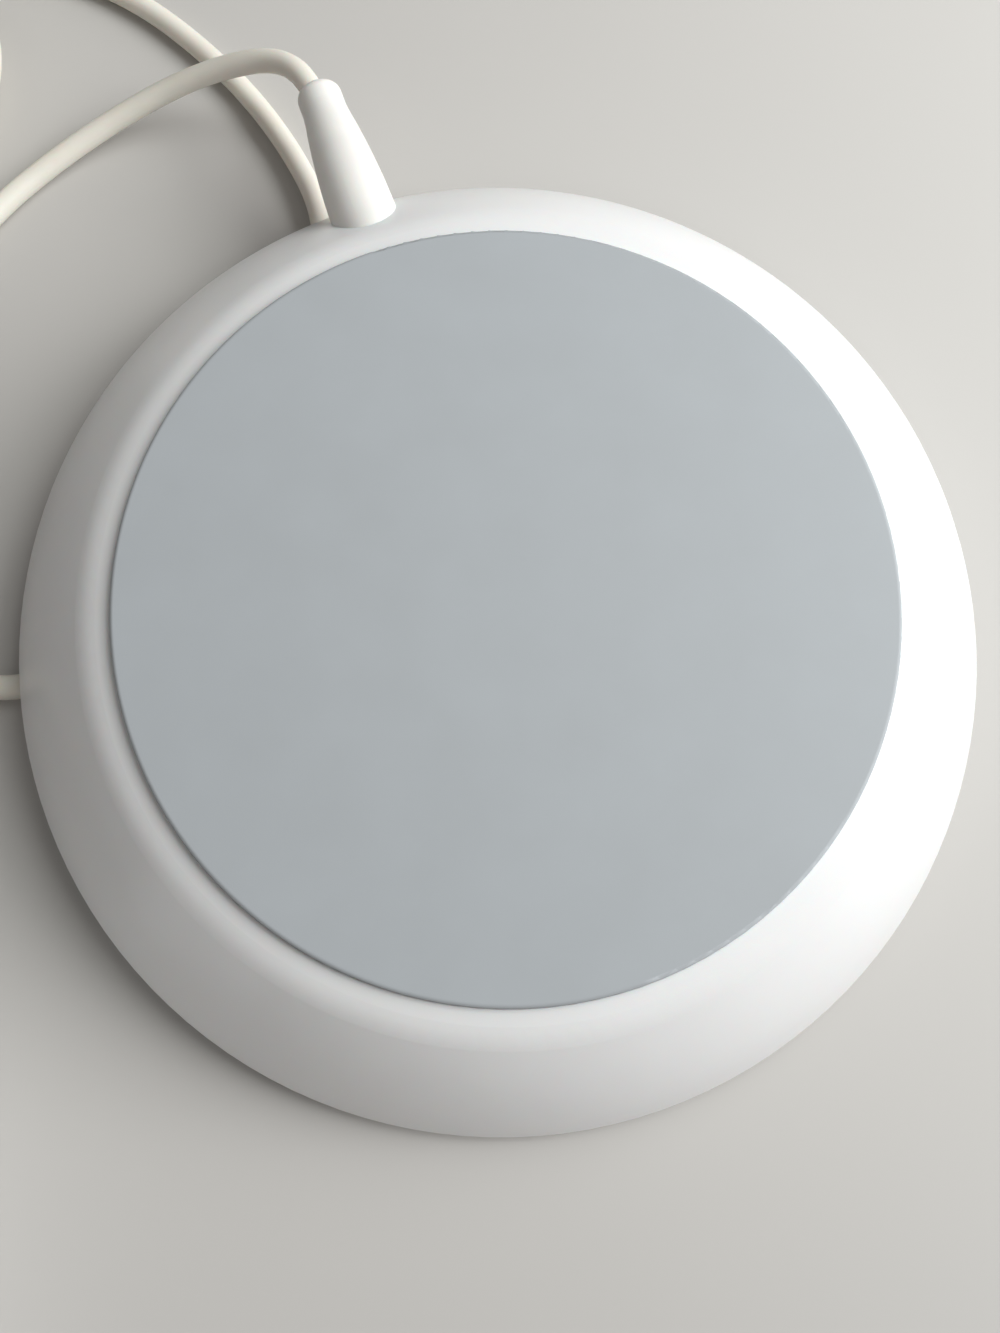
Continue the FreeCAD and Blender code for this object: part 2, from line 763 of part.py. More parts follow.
def under_board(label, width, depth, height, x, y):
    """A box-shaped component that hangs under the board, its upright edges rounded a little."""
    plain = block(label + "_blank", Size(width), Size(depth), Size(height), x, y, BOARD_Z - height)
    return rounded(label, plain, 0.3, upright)


def switch_chips():
    """Two chips with four legs a side."""
    chips = []
    for i, y in enumerate((-6.0, 3.0)):
        x = -10.0
        pieces = [block("chip_%d" % i, Size(4.0), Size(5.0), Size(1.5), x, y, BOARD_Z - 1.65)]
        for side in (-1, 1):
            for leg in range(4):
                pieces.append(block("leg_%d_%d_%d" % (i, side + 1, leg), Size(1.2), Size(0.4), Size(0.45),
                                    x + side * 2.3, y + 0.4 + 1.27 * leg, BOARD_Z - 0.45))
        chips.append(joined("chip_with_legs_%d" % i, pieces))
    return group("chip_group", chips)


def filter_capacitors():
    """A row of three ceramic capacitors."""
    return group("capacitor_group", [
        block("capacitor_%d" % i, Size(2.0), Size(3.2), Size(2.0), 7.5 + 2.8 * i, -8.0, BOARD_Z - 2.0)
        for i in range(3)
    ])


def board_socket():
    """The lead's socket, open towards the lead."""
    height, side = Size(3.2), Size(9.2)
    solid = block("socket_solid", side, Size(8.0), height, 0, 13.5, BOARD_Z - height)
    pocket = block("socket_pocket", Size(7.4), Size(7.0), Size(2.4), 0, 15.0, BOARD_Z - 2.7)
    return without("socket", solid, [pocket])


def lead_plug():
    """The plug in that socket."""
    return block("plug", Size(7.4), Size(8.5), Size(2.4), 0, 15.0, BOARD_Z - 2.7)


CORE_END_Y = 29.0


def board_lead(label, side):
    """One core of the lead, from the end of the jacket to the plug."""
    plug_back, off, spread = 23.5, 0.65 * side, 1.9 * side
    z = float(LEAD_Z)
    points = [
        Vector(off, CORE_END_Y, z),
        Vector(off, CORE_END_Y - 2.2, z),
        Vector(spread, plug_back + 2.0, z),
        Vector(spread, plug_back, z),
    ]
    edges, _ = rounded_path(points)
    lead, _ = tube(label, edges, 0.55)
    return lead


def jacket():
    """The lead inside the coaster, as far as the bend in the strain relief's tip."""
    return cylinder("jacket", LEAD_R, cell("boot_waist") - CORE_END_Y, 0, CORE_END_Y, LEAD_Z, TO_LEAD)


def cord_clamp():
    """The bar that holds the lead down on its rib."""
    bar = block("clamp_bar", Size(16.0), Size(CLAMP_DEEP), Size(1.8), 0, CLAMP_Y, CLAMP_Z)
    tools = [cylinder("clamp_groove", LEAD_R, Size(8.0), 0, CLAMP_Y - 2.0, LEAD_Z, TO_LEAD)]
    for i, (x, y) in enumerate(CLAMP_SCREWS):
        tools.append(cylinder("clamp_hole_%d" % i, SMALL_CORE + 0.1, Size(4.0), x, y, CLAMP_Z - 1.0))
    return without("clamp", bar, tools)


node("outer_shell", outer_shell())
node("base_plate", base_plate())
node("base_gasket",
     flat_ring("gasket", cell("ledge_radius") + 0.2, OPENING - 0.4, cell("gasket_thick"), LEDGE_Z))
node("pad_adhesive",
     cylinder("adhesive", cell("pad_radius") - 0.4, cell("adhesive_thick"), 0, 0, PLATE_TOP))
node("base_pad", base_pad())
node("base_screws", base_screws())
node("ballast_plate", ballast_plate())
node("circuit_board", circuit_board())
node("board_screws", pan_screws("board", BOARD_SCREWS, BOARD_TOP, Size(1.0), FLOOR_Z + 0.8))
node("switch_chips", switch_chips())
node("filter_capacitors", filter_capacitors())
node("filter_inductor", under_board("inductor", 7.0, 7.0, 3.0, 9.5, -1.0))
node("fuse", under_board("fuse_body", 2.6, 6.0, 2.6, -10.0, 9.5))
node("contact_block", contact_block())
node("contact_seals", contact_seals())
for which, distance in CONTACTS:
    for kind, make in (("contact_barrel_", contact_barrel), ("contact_pin_", contact_pin)):
        piece = make(which)
        piece.Placement.Base = spot(0, distance, 0)
        node(kind + which, piece)
    node("contact_spring_" + which, contact_spring(which, distance))
node("board_socket", board_socket())
node("lead_plug", lead_plug())
node("lead_positive", board_lead("core_positive", 1))
node("lead_negative", board_lead("core_negative", -1))
node("cord_clamp", cord_clamp())
node("clamp_screws", pan_screws("clamp", CLAMP_SCREWS, CLAMP_Z + 1.8, Size(0.9), FLOOR_Z + 0.8))
node("cord_core", jacket())


# Seat placement: the coaster's lean, its turn and the height that puts its low side on the table

LEAN, LOW_WAY = math.radians(float(cell("lean"))), math.radians(float(cell("lean_towards")))
ROUND_R = float(cell("lip_round"))
LIFT = (float(RIM) - ROUND_R) * math.sin(LEAN) + ROUND_R * (1 - math.cos(LEAN))
LEAN_AXIS = Vector(-math.sin(LOW_WAY), math.cos(LOW_WAY), 0)
SEAT = Placement(
    Vector(0, 0, LIFT),
    Rotation(LEAN_AXIS, math.degrees(LEAN)) * Rotation(Vector(0, 0, 1), float(cell("lead_turn"))),
)


# The lead outside the coaster

LEAD_ON_TABLE = float(LEAD_R)
COIL_CENTRE = Vector(float(cell("coil_x")), float(cell("coil_y")), 0)
COIL_ENTRY, COIL_EXIT, COIL_TURNS = 200.0, 100.0, 10
COIL_LAYERS = 4
REVERSAL = 180.0
COIL_LOW = float(cell("tie_thick")) + LEAD_ON_TABLE + 0.1
COIL_HIGH = COIL_LOW + (COIL_LAYERS - 1) * float(cell("coil_layer"))
COIL_SWEEP = COIL_TURNS * 360.0 + COIL_ENTRY - COIL_EXIT
LAYER_SWEEP = (COIL_SWEEP - (COIL_LAYERS - 1) * REVERSAL) / COIL_LAYERS


def coil_place(swept):
    """The point of the coil after a sweep in degrees: clockwise, in and out again, layer by layer."""
    outer, step = float(cell("coil_outer")), float(cell("coil_step"))
    inner = outer - step * LAYER_SWEEP / 360.0
    layer = min(COIL_LAYERS - 1, max(0, int(swept // (LAYER_SWEEP + REVERSAL))))
    within = swept - layer * (LAYER_SWEEP + REVERSAL)
    travelled = max(0.0, min(within, LAYER_SWEEP)) * step / 360.0
    radius = outer - travelled if layer % 2 == 0 else inner + travelled
    climbed = layer + max(0.0, within - LAYER_SWEEP) / REVERSAL
    height = COIL_HIGH - climbed * float(cell("coil_layer"))
    angle = math.radians(COIL_ENTRY - swept)
    return COIL_CENTRE + Vector(radius * math.cos(angle), radius * math.sin(angle), height)


def level_way(angle):
    """The clockwise way along the coil at an angle round it, level."""
    heading = math.radians(angle - 90.0)
    return Vector(math.cos(heading), math.sin(heading), 0)


def coil_edges():
    """The coil's arcs, with a straight end of one diameter at each side."""
    count = round(COIL_SWEEP / BIARC_SPAN)
    step = COIL_SWEEP / count
    small = 2.0
    points = [coil_place(step * i) for i in range(count + 1)]
    ways = [
        (coil_place(step * i + small) - coil_place(step * i - small)).normalize() for i in range(1, count)
    ]
    ways = [level_way(COIL_ENTRY)] + ways + [level_way(COIL_EXIT)]
    straight = 2 * float(LEAD_R)
    first, last = points[0] - ways[0] * straight, points[-1] + ways[-1] * straight
    edges = [Part.LineSegment(first, points[0])]
    for i in range(count):
        edges += biarc(points[i], ways[i], points[i + 1], ways[i + 1])
    return edges + [Part.LineSegment(points[-1], last)]


COIL_PATH = coil_edges()
COIL_IN = COIL_PATH[0].StartPoint
COIL_OUT = COIL_PATH[-1].EndPoint
LEAD_START = SEAT.multVec(spot(0, cell("boot_waist"), LEAD_Z))
BOOT_WAY = SEAT.Rotation.multVec(TO_LEAD)
ADAPTER_BOOT = 14.0
ADAPTER_TIP = spot(cell("adapter_x"), cell("adapter_y") + ADAPTER_BOOT, cell("adapter_axis"))

# It bends in the strain relief's tip, goes over the far run, down to the table and up to the coil
NEAR_ROUTE = [
    LEAD_START,
    LEAD_START + BOOT_WAY * 4.9,
    Vector(-26.7, 68.0, 11.4),
    Vector(-36.2, 69.2, 7.9),
    Vector(-46.1, 67.4, 4.1),
    Vector(-56.6, 61.6, 1.7),
    Vector(-65.2, 53.1, LEAD_ON_TABLE),
    Vector(-71.0, 43.0, 1.7),
    Vector(-78.4, 34.6, 3.6),
    Vector(-88.6, 30.9, 6.6),
    Vector(-98.0, 36.0, 9.9),
    COIL_IN - level_way(COIL_ENTRY) * 10.5,
    COIL_IN,
]
# From the coil back along the table, under the near run and the rim, out again and to the adapter
FAR_ROUTE = [
    COIL_OUT,
    COIL_OUT + level_way(COIL_EXIT) * 8.6,
    Vector(-68.6, 93.0, 1.6),
    Vector(-58.8, 89.9, LEAD_ON_TABLE),
    Vector(-49.1, 85.0, LEAD_ON_TABLE),
    Vector(-40.7, 78.1, LEAD_ON_TABLE),
    Vector(-33.2, 70.1, LEAD_ON_TABLE),
    Vector(-27.35, 61.7, LEAD_ON_TABLE),
    Vector(-23.05, 53.0, LEAD_ON_TABLE),
    Vector(-22.6, 44.8, LEAD_ON_TABLE),
    Vector(-26.5, 37.2, LEAD_ON_TABLE),
    Vector(-32.0, 30.8, LEAD_ON_TABLE),
    Vector(-36.8, 24.2, LEAD_ON_TABLE),
    Vector(-40.2, 16.2, LEAD_ON_TABLE),
    Vector(-42.8, 7.2, LEAD_ON_TABLE),
    Vector(-46.2, -1.8, LEAD_ON_TABLE),
    Vector(-53.6, -9.1, LEAD_ON_TABLE),
    Vector(-64.2, -7.4, 1.7),
    Vector(-71.2, -9.4, 3.6),
    Vector(-76.8, -13.4, 6.2),
    Vector(-79.6, -18.6, 8.7),
    ADAPTER_TIP + Vector(0, 6.6, 0),
    ADAPTER_TIP,
]


def free_run(label, route):
    """A free stretch of the lead along a route, with its arcs' radii printed."""
    edges, radii = rounded_path(route)
    run, length = tube(label, edges, LEAD_R)
    print("%s radii: %s" % (label, ", ".join("%.1f" % radius for radius in radii)))
    return run, length


near_run, near_length = free_run("near_run", NEAR_ROUTE)
far_run, far_length = free_run("far_run", FAR_ROUTE)
coil, coil_length = tube("coil", COIL_PATH, LEAD_R)
print("coil: least gap between turns %.2f mm" % least_gap(COIL_PATH, LEAD_R))
print("free lead: %.0f mm" % (near_length + coil_length + far_length))
node("cord_run_near", near_run, False)


def strain_relief():
    """The sleeve in the wall, which holds the lead's first bend, and its tab inside the wall."""
    tip = (cell("boot_narrow"), cell("boot_end"), Size(1.15))
    sleeve = boot_sleeve("boot", Size(0.0), [tip])
    tab = block("boot_tab", Size(11.2), Size(1.0), Size(3.0), 0, cell("boot_start"), LEAD_Z - 1.5)
    bore = cylinder("boot_bore", LEAD_R, cell("boot_waist") - 40.0, 0, 40.0, LEAD_Z, TO_LEAD)
    bend, _ = rounded_path([SEAT.inverse().multVec(point) for point in NEAR_ROUTE[:4]])
    mouth, _ = tube("boot_mouth", bend, LEAD_R)
    return without("boot_whole", joined("boot_solid", [sleeve, tab]), [bore, mouth])


node("strain_relief", strain_relief())
node("cord_coil", coil, False)
node("cord_run_far", far_run, False)


def coil_tie(i, angle):
    """A band round the turns at one angle of the coil. The turns lie on it."""
    thick, width = float(cell("tie_thick")), float(cell("tie_width"))
    outer = float(cell("coil_outer"))
    inner = outer - float(cell("coil_step")) * LAYER_SWEEP / 360.0
    room = float(LEAD_R) + 0.1
    bulge = inner - math.sqrt(inner**2 - width**2 / 4)
    low, high = COIL_LOW - room, COIL_HIGH + room
    width_in, height_in = outer - inner + 2 * room + bulge, high - low
    solids = []
    for name, grow, corner in (("outside", thick, 2.0), ("inside", 0.0, 1.3)):
        blank = DOC.addObject("Part::Box", "tie_%s_%d" % (name, i))
        blank.Length, blank.Width, blank.Height = width_in + 2 * grow, width, height_in + 2 * grow
        blank.Placement.Base = Vector(-grow, 0, -grow)
        solids.append(rounded("tie_%s_soft_%d" % (name, i), blank, corner, lengthwise))
    tie = without("tie_%d" % i, solids[0], [solids[1]])
    along = Rotation(Vector(0, 0, 1), angle)
    tie.Placement = Placement(COIL_CENTRE + Vector(0, 0, low), along).multiply(
        Placement(Vector(inner - room - bulge, -width / 2, 0), Rotation())
    )
    return tie


node("coil_ties", group("tie_group", [coil_tie(i, angle) for i, angle in enumerate((140.0, 320.0))]), False)


# Wall adapter

ADAPTER_X, ADAPTER_Y = cell("adapter_x"), cell("adapter_y")
ADAPTER_FAR_Y = ADAPTER_Y - cell("adapter_length")
DEPTH, SPLIT = cell("adapter_depth"), cell("adapter_split")
AWAY = Vector(0, -1, 0)
CASE = cell("adapter_wall")
ADAPTER_AXIS = cell("adapter_axis")
ADAPTER_NECK = Size(2.6)
BLADES = [(side, ADAPTER_X + cell("blade_spacing") * (side * 0.5)) for side in (-1, 1)]
BLADE_Y = ADAPTER_FAR_Y + 19.0
BLADE_FOOT = 5.0
ADAPTER_MID_Y = float(ADAPTER_Y - cell("adapter_length") * 0.5)
ADAPTER_CORE = 7.0
ADAPTER_CORE_END = float(ADAPTER_Y) - ADAPTER_CORE
ADAPTER_BOARD_Z = 3.0
ADAPTER_BOARD_THICK = 1.2
ADAPTER_BOARD_TOP = ADAPTER_BOARD_Z + ADAPTER_BOARD_THICK
ADAPTER_POSTS = [(float(ADAPTER_X) + x, ADAPTER_MID_Y + y) for x in (-11.0, 11.0) for y in (-15.0, 15.0)]


def adapter_block(label, inset, corner, edge_round):
    """A block of the case's shape, drawn in by an inset on every side."""
    width, length = cell("adapter_width") - 2 * inset, cell("adapter_length") - 2 * inset
    low_end = ADAPTER_FAR_Y + inset
    plain = block(label + "_plain", width, length, DEPTH - 2 * inset, ADAPTER_X, low_end, inset)
    return rounded(label, rounded(label + "_corners", plain, corner, upright), edge_round, level)


def adapter_half(label, low, high, extra):
    """One half of the hollow case, between two heights."""
    outside = adapter_block(label + "_out", Size(0.0), 7.0, 2.5)
    shell = without(label + "_hollow", outside, [adapter_block(label + "_in", CASE, 5.0, 1.0)])
    band = block(label + "_band", Size(60.0), Size(70.0), high - low, ADAPTER_X, ADAPTER_FAR_Y - 10.0, low)
    half = DOC.addObject("Part::Common", label + "_half")
    half.Base, half.Tool = shell, band
    return without(label, rounded(label + "_seam", half, 0.4, on_seam), extra)


def on_seam(edge):
    """True for an outside edge of the case at the joint between its halves."""
    box, width, length = edge.BoundBox, cell("adapter_width"), cell("adapter_length")
    off_x = max(abs(box.XMin - float(ADAPTER_X)), abs(box.XMax - float(ADAPTER_X)))
    off_y = max(abs(box.YMin - ADAPTER_MID_Y), abs(box.YMax - ADAPTER_MID_Y))
    outside = off_x > float(width) / 2 - 0.01 or off_y > float(length) / 2 - 0.01
    return outside and box.ZMin > float(SPLIT) - 0.01 and box.ZMax < float(SPLIT) + 0.01


def grip_grooves():
    """Upright grooves in both long sides of the rear half, near the lead."""
    deep, wide, high = Size(0.45), Size(1.1), Size(9.0)
    side = cell("adapter_width") * 0.5
    return [
        block("grip_%d_%d" % (way + 1, i), deep * 2, wide, high, ADAPTER_X + side * way,
              ADAPTER_Y - 11.0 - 2.2 * i, 5.0)
        for way in (-1, 1) for i in range(5)
    ]


def adapter_blades():
    """The two blades, each with a hole near a narrowed tip."""
    blades = []
    for side, x in BLADES:
        width, thick = cell("blade_width"), cell("blade_thick")
        high = cell("blade_length") + BLADE_FOOT
        plain = block("blade_%d" % (side + 1), thick, width, high, x, BLADE_Y, DEPTH - BLADE_FOOT)
        top = float(DEPTH + cell("blade_length"))

        def tip(edge, top=top):
            return lengthwise(edge) and edge.BoundBox.ZMin > top - 0.01

        shaped = rounded("blade_tip_%d" % (side + 1), plain, 0.5, tip)
        hole = cylinder("blade_hole_%d" % (side + 1), Size(1.6), Size(6.0), x - 3.0,
                        BLADE_Y + width * 0.5, top - 4.0, Vector(1, 0, 0))
        blades.append(without("blade_whole_%d" % (side + 1), shaped, [hole]))
    return group("blade_group", blades)


def blade_slots():
    """What the blades take away from the case."""
    return [
        block("blade_slot_%d" % (side + 1), cell("blade_thick"), cell("blade_width"), Size(12.0), x,
              BLADE_Y, DEPTH - BLADE_FOOT)
        for side, x in BLADES
    ]


def adapter_boot():
    """The adapter's strain relief, with a neck through the end wall and a stop inside."""
    x, y, z = ADAPTER_X, ADAPTER_Y, ADAPTER_AXIS
    narrow, broad = Size(2.2), Size(3.6)
    taper = cone("adapter_taper", narrow, broad, Size(ADAPTER_BOOT), x, y + ADAPTER_BOOT, z, AWAY)
    softened = rounded("adapter_soft", taper, 0.7, circular)
    neck = cylinder("adapter_neck", ADAPTER_NECK, Size(6.0), x, y + 2.0, z, AWAY)
    stop = cylinder("adapter_stop", broad, Size(2.5), x, y - CASE, z, AWAY)
    tools = [cylinder("adapter_bore", LEAD_R, Size(30.0), x, y + 20.0, z, AWAY)]
    for i in range(4):
        way = 3.0 + 2.6 * i
        left = broad - (broad - narrow) * (way / ADAPTER_BOOT) - 0.5
        ring = cylinder("flex_ring_%d" % i, Size(5.0), Size(0.9), x, y + way, z, AWAY)
        core = cylinder("flex_core_%d" % i, left, Size(2.0), x, y + way + 0.5, z, AWAY)
        tools.append(without("flex_groove_%d" % i, ring, [core]))
    return without("adapter_boot_whole", joined("adapter_boot_solid", [softened, neck, stop]), tools)


def adapter_rear_case():
    """The deep half that lies on the table, with four posts for the board and the lead's hole."""
    x, y = ADAPTER_X, ADAPTER_Y + 2.0
    hole = cylinder("adapter_lead_hole", ADAPTER_NECK, Size(8.0), x, y, ADAPTER_AXIS, AWAY)
    shell = adapter_half("rear_half", Size(0.0), SPLIT, [hole] + grip_grooves())
    low = CASE - BOSS_SINK
    posts = [
        cylinder("adapter_post_%d" % i, Size(1.8), ADAPTER_BOARD_Z - low, x, y, low)
        for i, (x, y) in enumerate(ADAPTER_POSTS)
    ]
    return joined("rear_case", [shell] + posts)


def adapter_transformer():
    """The transformer: a ferrite core round a wound bobbin."""
    x, y, z = float(ADAPTER_X) - 5.0, ADAPTER_MID_Y - 21.0, ADAPTER_BOARD_TOP
    core = block("core", Size(16.0), Size(13.0), Size(12.0), x, y + 1.0, z)
    window = block("core_window", Size(10.0), Size(20.0), Size(7.0), x, y - 3.0, z + 2.5)
    winding_block = block("bobbin", Size(10.0), Size(15.0), Size(7.0), x, y, z + 2.5)
    soft = rounded("bobbin_soft", winding_block, 1.0, lengthwise)
    ring = without("core_ring", core, [window])
    return joined("transformer", [ring, soft])


def adapter_capacitors():
    """Two upright electrolytic capacitors."""
    places = ((11.0, -10.0, 4.2, 13.0), (10.5, 6.0, 3.2, 10.0))
    return group("electrolytic_group", [
        rounded("electrolytic_%d" % i,
                cylinder("electrolytic_blank_%d" % i, Size(radius), Size(high), float(ADAPTER_X) + x,
                         ADAPTER_MID_Y + y, ADAPTER_BOARD_TOP),
                0.5, circular)
        for i, (x, y, radius, high) in enumerate(places)
    ])


def adapter_wires():
    """The wires from the blades down to the board."""
    foot = float(DEPTH) - BLADE_FOOT
    return group("wire_group", [
        cylinder("wire_%d" % (side + 1), Size(0.6), Size(foot - ADAPTER_BOARD_TOP), x,
                 BLADE_Y + 1.0, ADAPTER_BOARD_TOP)
        for side, x in BLADES
    ])


def adapter_leads():
    """The lead's two cores, bent down to the board."""
    cores = []
    for i, side in enumerate((-1, 1)):
        x = float(ADAPTER_X)
        near, wide = x + 0.65 * side, x + 2.4 * side
        z = float(ADAPTER_AXIS)
        points = [
            Vector(near, ADAPTER_CORE_END, z),
            Vector(near, ADAPTER_CORE_END - 2.0, z),
            Vector(wide, ADAPTER_CORE_END - 5.2, z - 0.8),
            Vector(wide, ADAPTER_CORE_END - 5.2, ADAPTER_BOARD_TOP),
        ]
        edges, _ = rounded_path(points)
        core, _ = tube("adapter_lead_%d" % i, edges, 0.55)
        cores.append(core)
    return group("adapter_lead_group", cores)


node("adapter_rear_case", adapter_rear_case(), False)
node("adapter_front_case", adapter_half("front_half", SPLIT, DEPTH, blade_slots()), False)
node("adapter_blades", adapter_blades(), False)
node("adapter_strain_relief", adapter_boot(), False)
node("adapter_cord_core",
     cylinder("adapter_jacket", LEAD_R, Size(ADAPTER_BOOT + ADAPTER_CORE), ADAPTER_X,
              ADAPTER_Y + ADAPTER_BOOT, ADAPTER_AXIS, AWAY), False)
node("adapter_board",
     block("adapter_card", Size(30.0), Size(40.0), Size(ADAPTER_BOARD_THICK), ADAPTER_X,
           ADAPTER_MID_Y - 20.0, ADAPTER_BOARD_Z), False)
node("adapter_transformer", adapter_transformer(), False)
node("adapter_capacitors", adapter_capacitors(), False)
node("adapter_wires", adapter_wires(), False)
node("adapter_leads", adapter_leads(), False)


def write_pieces():
    """Place the coaster's pieces, check every object and write each piece to its own file."""
    DOC.recompute()
    for name, thing, in_coaster in NODES:
        if in_coaster:
            thing.Placement = SEAT.multiply(thing.Placement)
        thing.Label = name
    DOC.recompute()
    broken = [o.Name for o in DOC.Objects if "Invalid" in o.State or "Error" in o.State]
    if broken:
        raise RuntimeError("failed objects: " + ", ".join(broken))
    os.makedirs("parts", exist_ok=True)
    for name, thing, _ in NODES:
        shape = thing.Shape
        if shape.isNull() or not shape.isValid() or not shape.Solids:
            raise RuntimeError("bad shape: " + name)
        shape.exportStep("parts/%s.step" % name)
        print("%-24s solids %d volume %.1f mm3" % (name, len(shape.Solids), shape.Volume))
    print("%d pieces" % len(NODES))


write_pieces()
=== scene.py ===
"""Looks of a charging coaster for a heated mug, lying upside down on its own lead.

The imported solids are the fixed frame. The lead and the straps of its coil are modelled here,
and every other piece gets its finish here. Metres, in the frame of the solids.
"""
import json
import logging
import math
from dataclasses import dataclass, field
from enum import Enum
from typing import Any, Callable, ClassVar, Iterable, Sequence

import bmesh
import bpy
from mathutils import Matrix, Quaternion, Vector


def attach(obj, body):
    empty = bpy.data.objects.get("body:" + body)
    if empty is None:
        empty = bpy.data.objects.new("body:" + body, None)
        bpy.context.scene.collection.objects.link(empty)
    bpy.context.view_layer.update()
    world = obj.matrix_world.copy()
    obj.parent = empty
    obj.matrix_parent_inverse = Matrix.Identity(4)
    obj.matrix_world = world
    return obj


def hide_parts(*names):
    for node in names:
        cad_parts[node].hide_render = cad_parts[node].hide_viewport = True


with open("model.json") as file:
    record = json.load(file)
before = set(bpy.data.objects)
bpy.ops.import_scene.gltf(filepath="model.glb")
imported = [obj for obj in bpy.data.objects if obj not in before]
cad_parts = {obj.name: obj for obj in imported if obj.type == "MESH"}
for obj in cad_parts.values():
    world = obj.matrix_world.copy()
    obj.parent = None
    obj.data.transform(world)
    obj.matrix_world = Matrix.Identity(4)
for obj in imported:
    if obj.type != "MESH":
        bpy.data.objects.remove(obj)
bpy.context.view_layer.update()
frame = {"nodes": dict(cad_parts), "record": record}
LOG = logging.getLogger("coaster")
MM = 0.001
Point = tuple[float, float, float]
Colour = tuple[float, float, float]
Stops = Sequence[tuple[float, float]]


# Shader maths


class Wire:
    """A value in a shader, with the operators that the finishes use."""

    def __init__(self, shop: "Shop", socket: Any) -> None:
        """Hold one output socket.

        Args:
            shop: the material under way.
            socket: the output socket that holds the value.
        """
        self.shop = shop
        self.socket = socket

    def _with(self, operation: str, first: Any, second: Any) -> "Wire":
        """Join two values by one Math node.

        Args:
            operation: the node's operation.
            first: a number or a wire.
            second: a number or a wire.

        Returns:
            The node's value.
        """
        return self.shop.node("ShaderNodeMath", {"operation": operation}, {0: first, 1: second})

    def __add__(self, other: Any) -> "Wire":
        """This and the other added."""
        return self._with("ADD", self, other)

    def __mul__(self, other: Any) -> "Wire":
        """This and the other multiplied."""
        return self._with("MULTIPLY", self, other)

    __radd__ = __add__
    __rmul__ = __mul__


class Shop:
    """One material under way: its nodes, its pattern space and its surface."""

    def __init__(self, name: str) -> None:
        """Start the material with an empty surface.

        Args:
            name: the material's name.
        """
        self.material = bpy.data.materials.new(name)
        self.material.use_nodes = True
        self.tree = self.material.node_tree
        self.tree.nodes.clear()
        self.out = self.tree.nodes.new("ShaderNodeOutputMaterial")
        self.surface = self.tree.nodes.new("ShaderNodeBsdfPrincipled")
        self.tree.links.new(self.surface.outputs["BSDF"], self.out.inputs["Surface"])
        place = self.tree.nodes.new("ShaderNodeTexCoord")
        self.place = Wire(self, place.outputs["Object"])

    def plug(self, socket: Any, value: Any) -> None:
        """Give a socket a number, a colour or a wire.

        Args:
            socket: the input socket.
            value: what goes into it.
        """
        if isinstance(value, Wire):
            self.tree.links.new(value.socket, socket)
        else:
            socket.default_value = value

    def node(
        self, kind: str, settings: dict[str, Any], values: dict[Any, Any], out: int = 0
    ) -> Wire:
        """Add any node: its settings first, then its sockets.

        Args:
            kind: the node's type.
            settings: its own settings, a ramp's stops among them.
            values: numbers, colours or wires for its sockets.
            out: which output is wanted.

        Returns:
            That output.
        """
        made = self.tree.nodes.new(kind)
        for key, value in settings.items():
            if key == "stops":
                self._stops(made.color_ramp, value)
            else:
                setattr(made, key, value)
        for key, value in values.items():
            self.plug(made.inputs[key], value)
        return Wire(self, made.outputs[out])

    @staticmethod
    def _stops(ramp: Any, stops: Stops) -> None:
        """Set a ramp of greys.

        Args:
            ramp: the node's ramp.
            stops: where each stop stands, and its grey.
        """
        while len(ramp.elements) < len(stops):
            ramp.elements.new(0.5)
        for element, (where, grey) in zip(ramp.elements, stops):
            element.position = where
            element.color = (grey, grey, grey, 1.0)

    def noise(
        self, size: float, detail: float = 2.0, rough: float = 0.5, where: Wire | None = None
    ) -> Wire:
        """Add cloudy noise whose lumps have a size in metres.

        Args:
            size: how wide a lump is.
            detail: how many finer layers it has.
            rough: how strong those are.
            where: the pattern space, if it isn't the piece's own.

        Returns:
            The noise, about nought to one.
        """
        values = {
            "Vector": where or self.place,
            "Scale": 1.0 / size,
            "Detail": detail,
            "Roughness": rough,
        }
        return self.node("ShaderNodeTexNoise", {}, values)

    def stretched(self, amounts: Point) -> Wire:
        """Stretch the pattern space along its axes.

        Args:
            amounts: how many times finer the pattern gets along each axis.

        Returns:
            The new space.
        """
        return self.node("ShaderNodeMapping", {}, {"Vector": self.place, "Scale": amounts})

    def ramp(self, value: Wire, stops: Stops) -> Wire:
        """Send a value through a ramp of greys.

        Args:
            value: the value.
            stops: where each stop stands, and its grey.

        Returns:
            The grey.
        """
        return self.node("ShaderNodeValToRGB", {"stops": stops}, {"Fac": value})

    def blend(self, amount: Wire, first: Colour, second: Colour) -> Wire:
        """Blend two colours by an amount.

        Args:
            amount: nought for the first colour, one for the second.
            first: the first colour.
            second: the second colour.

        Returns:
            The blended colour.
        """
        values = {0: amount, 6: (*first, 1.0), 7: (*second, 1.0)}
        return self.node("ShaderNodeMix", {"data_type": "RGBA"}, values, 2)

    def relief(
        self, height: Wire, depth: float, strength: float = 1.0, under: Wire | None = None
    ) -> Wire:
        """Make the surface bumpy.

        Args:
            height: the bumps, nought to one.
            depth: how deep they are, in metres.
            strength: how strongly they show.
            under: coarser bumps beneath them.

        Returns:
            The bent normal.
        """
        values = {"Height": height, "Distance": depth, "Strength": strength}
        if under is not None:
            values["Normal"] = under
        return self.node("ShaderNodeBump", {}, values)

    def finish(self, **sockets: Any) -> bpy.types.Material:
        """Set the surface's sockets.

        Args:
            **sockets: the sockets by their names, with an underscore for a space.

        Returns:
            The material.
        """
        for name, value in sockets.items():
            self.plug(self.surface.inputs[name.replace("_", " ")], value)
        return self.material


# Finishes


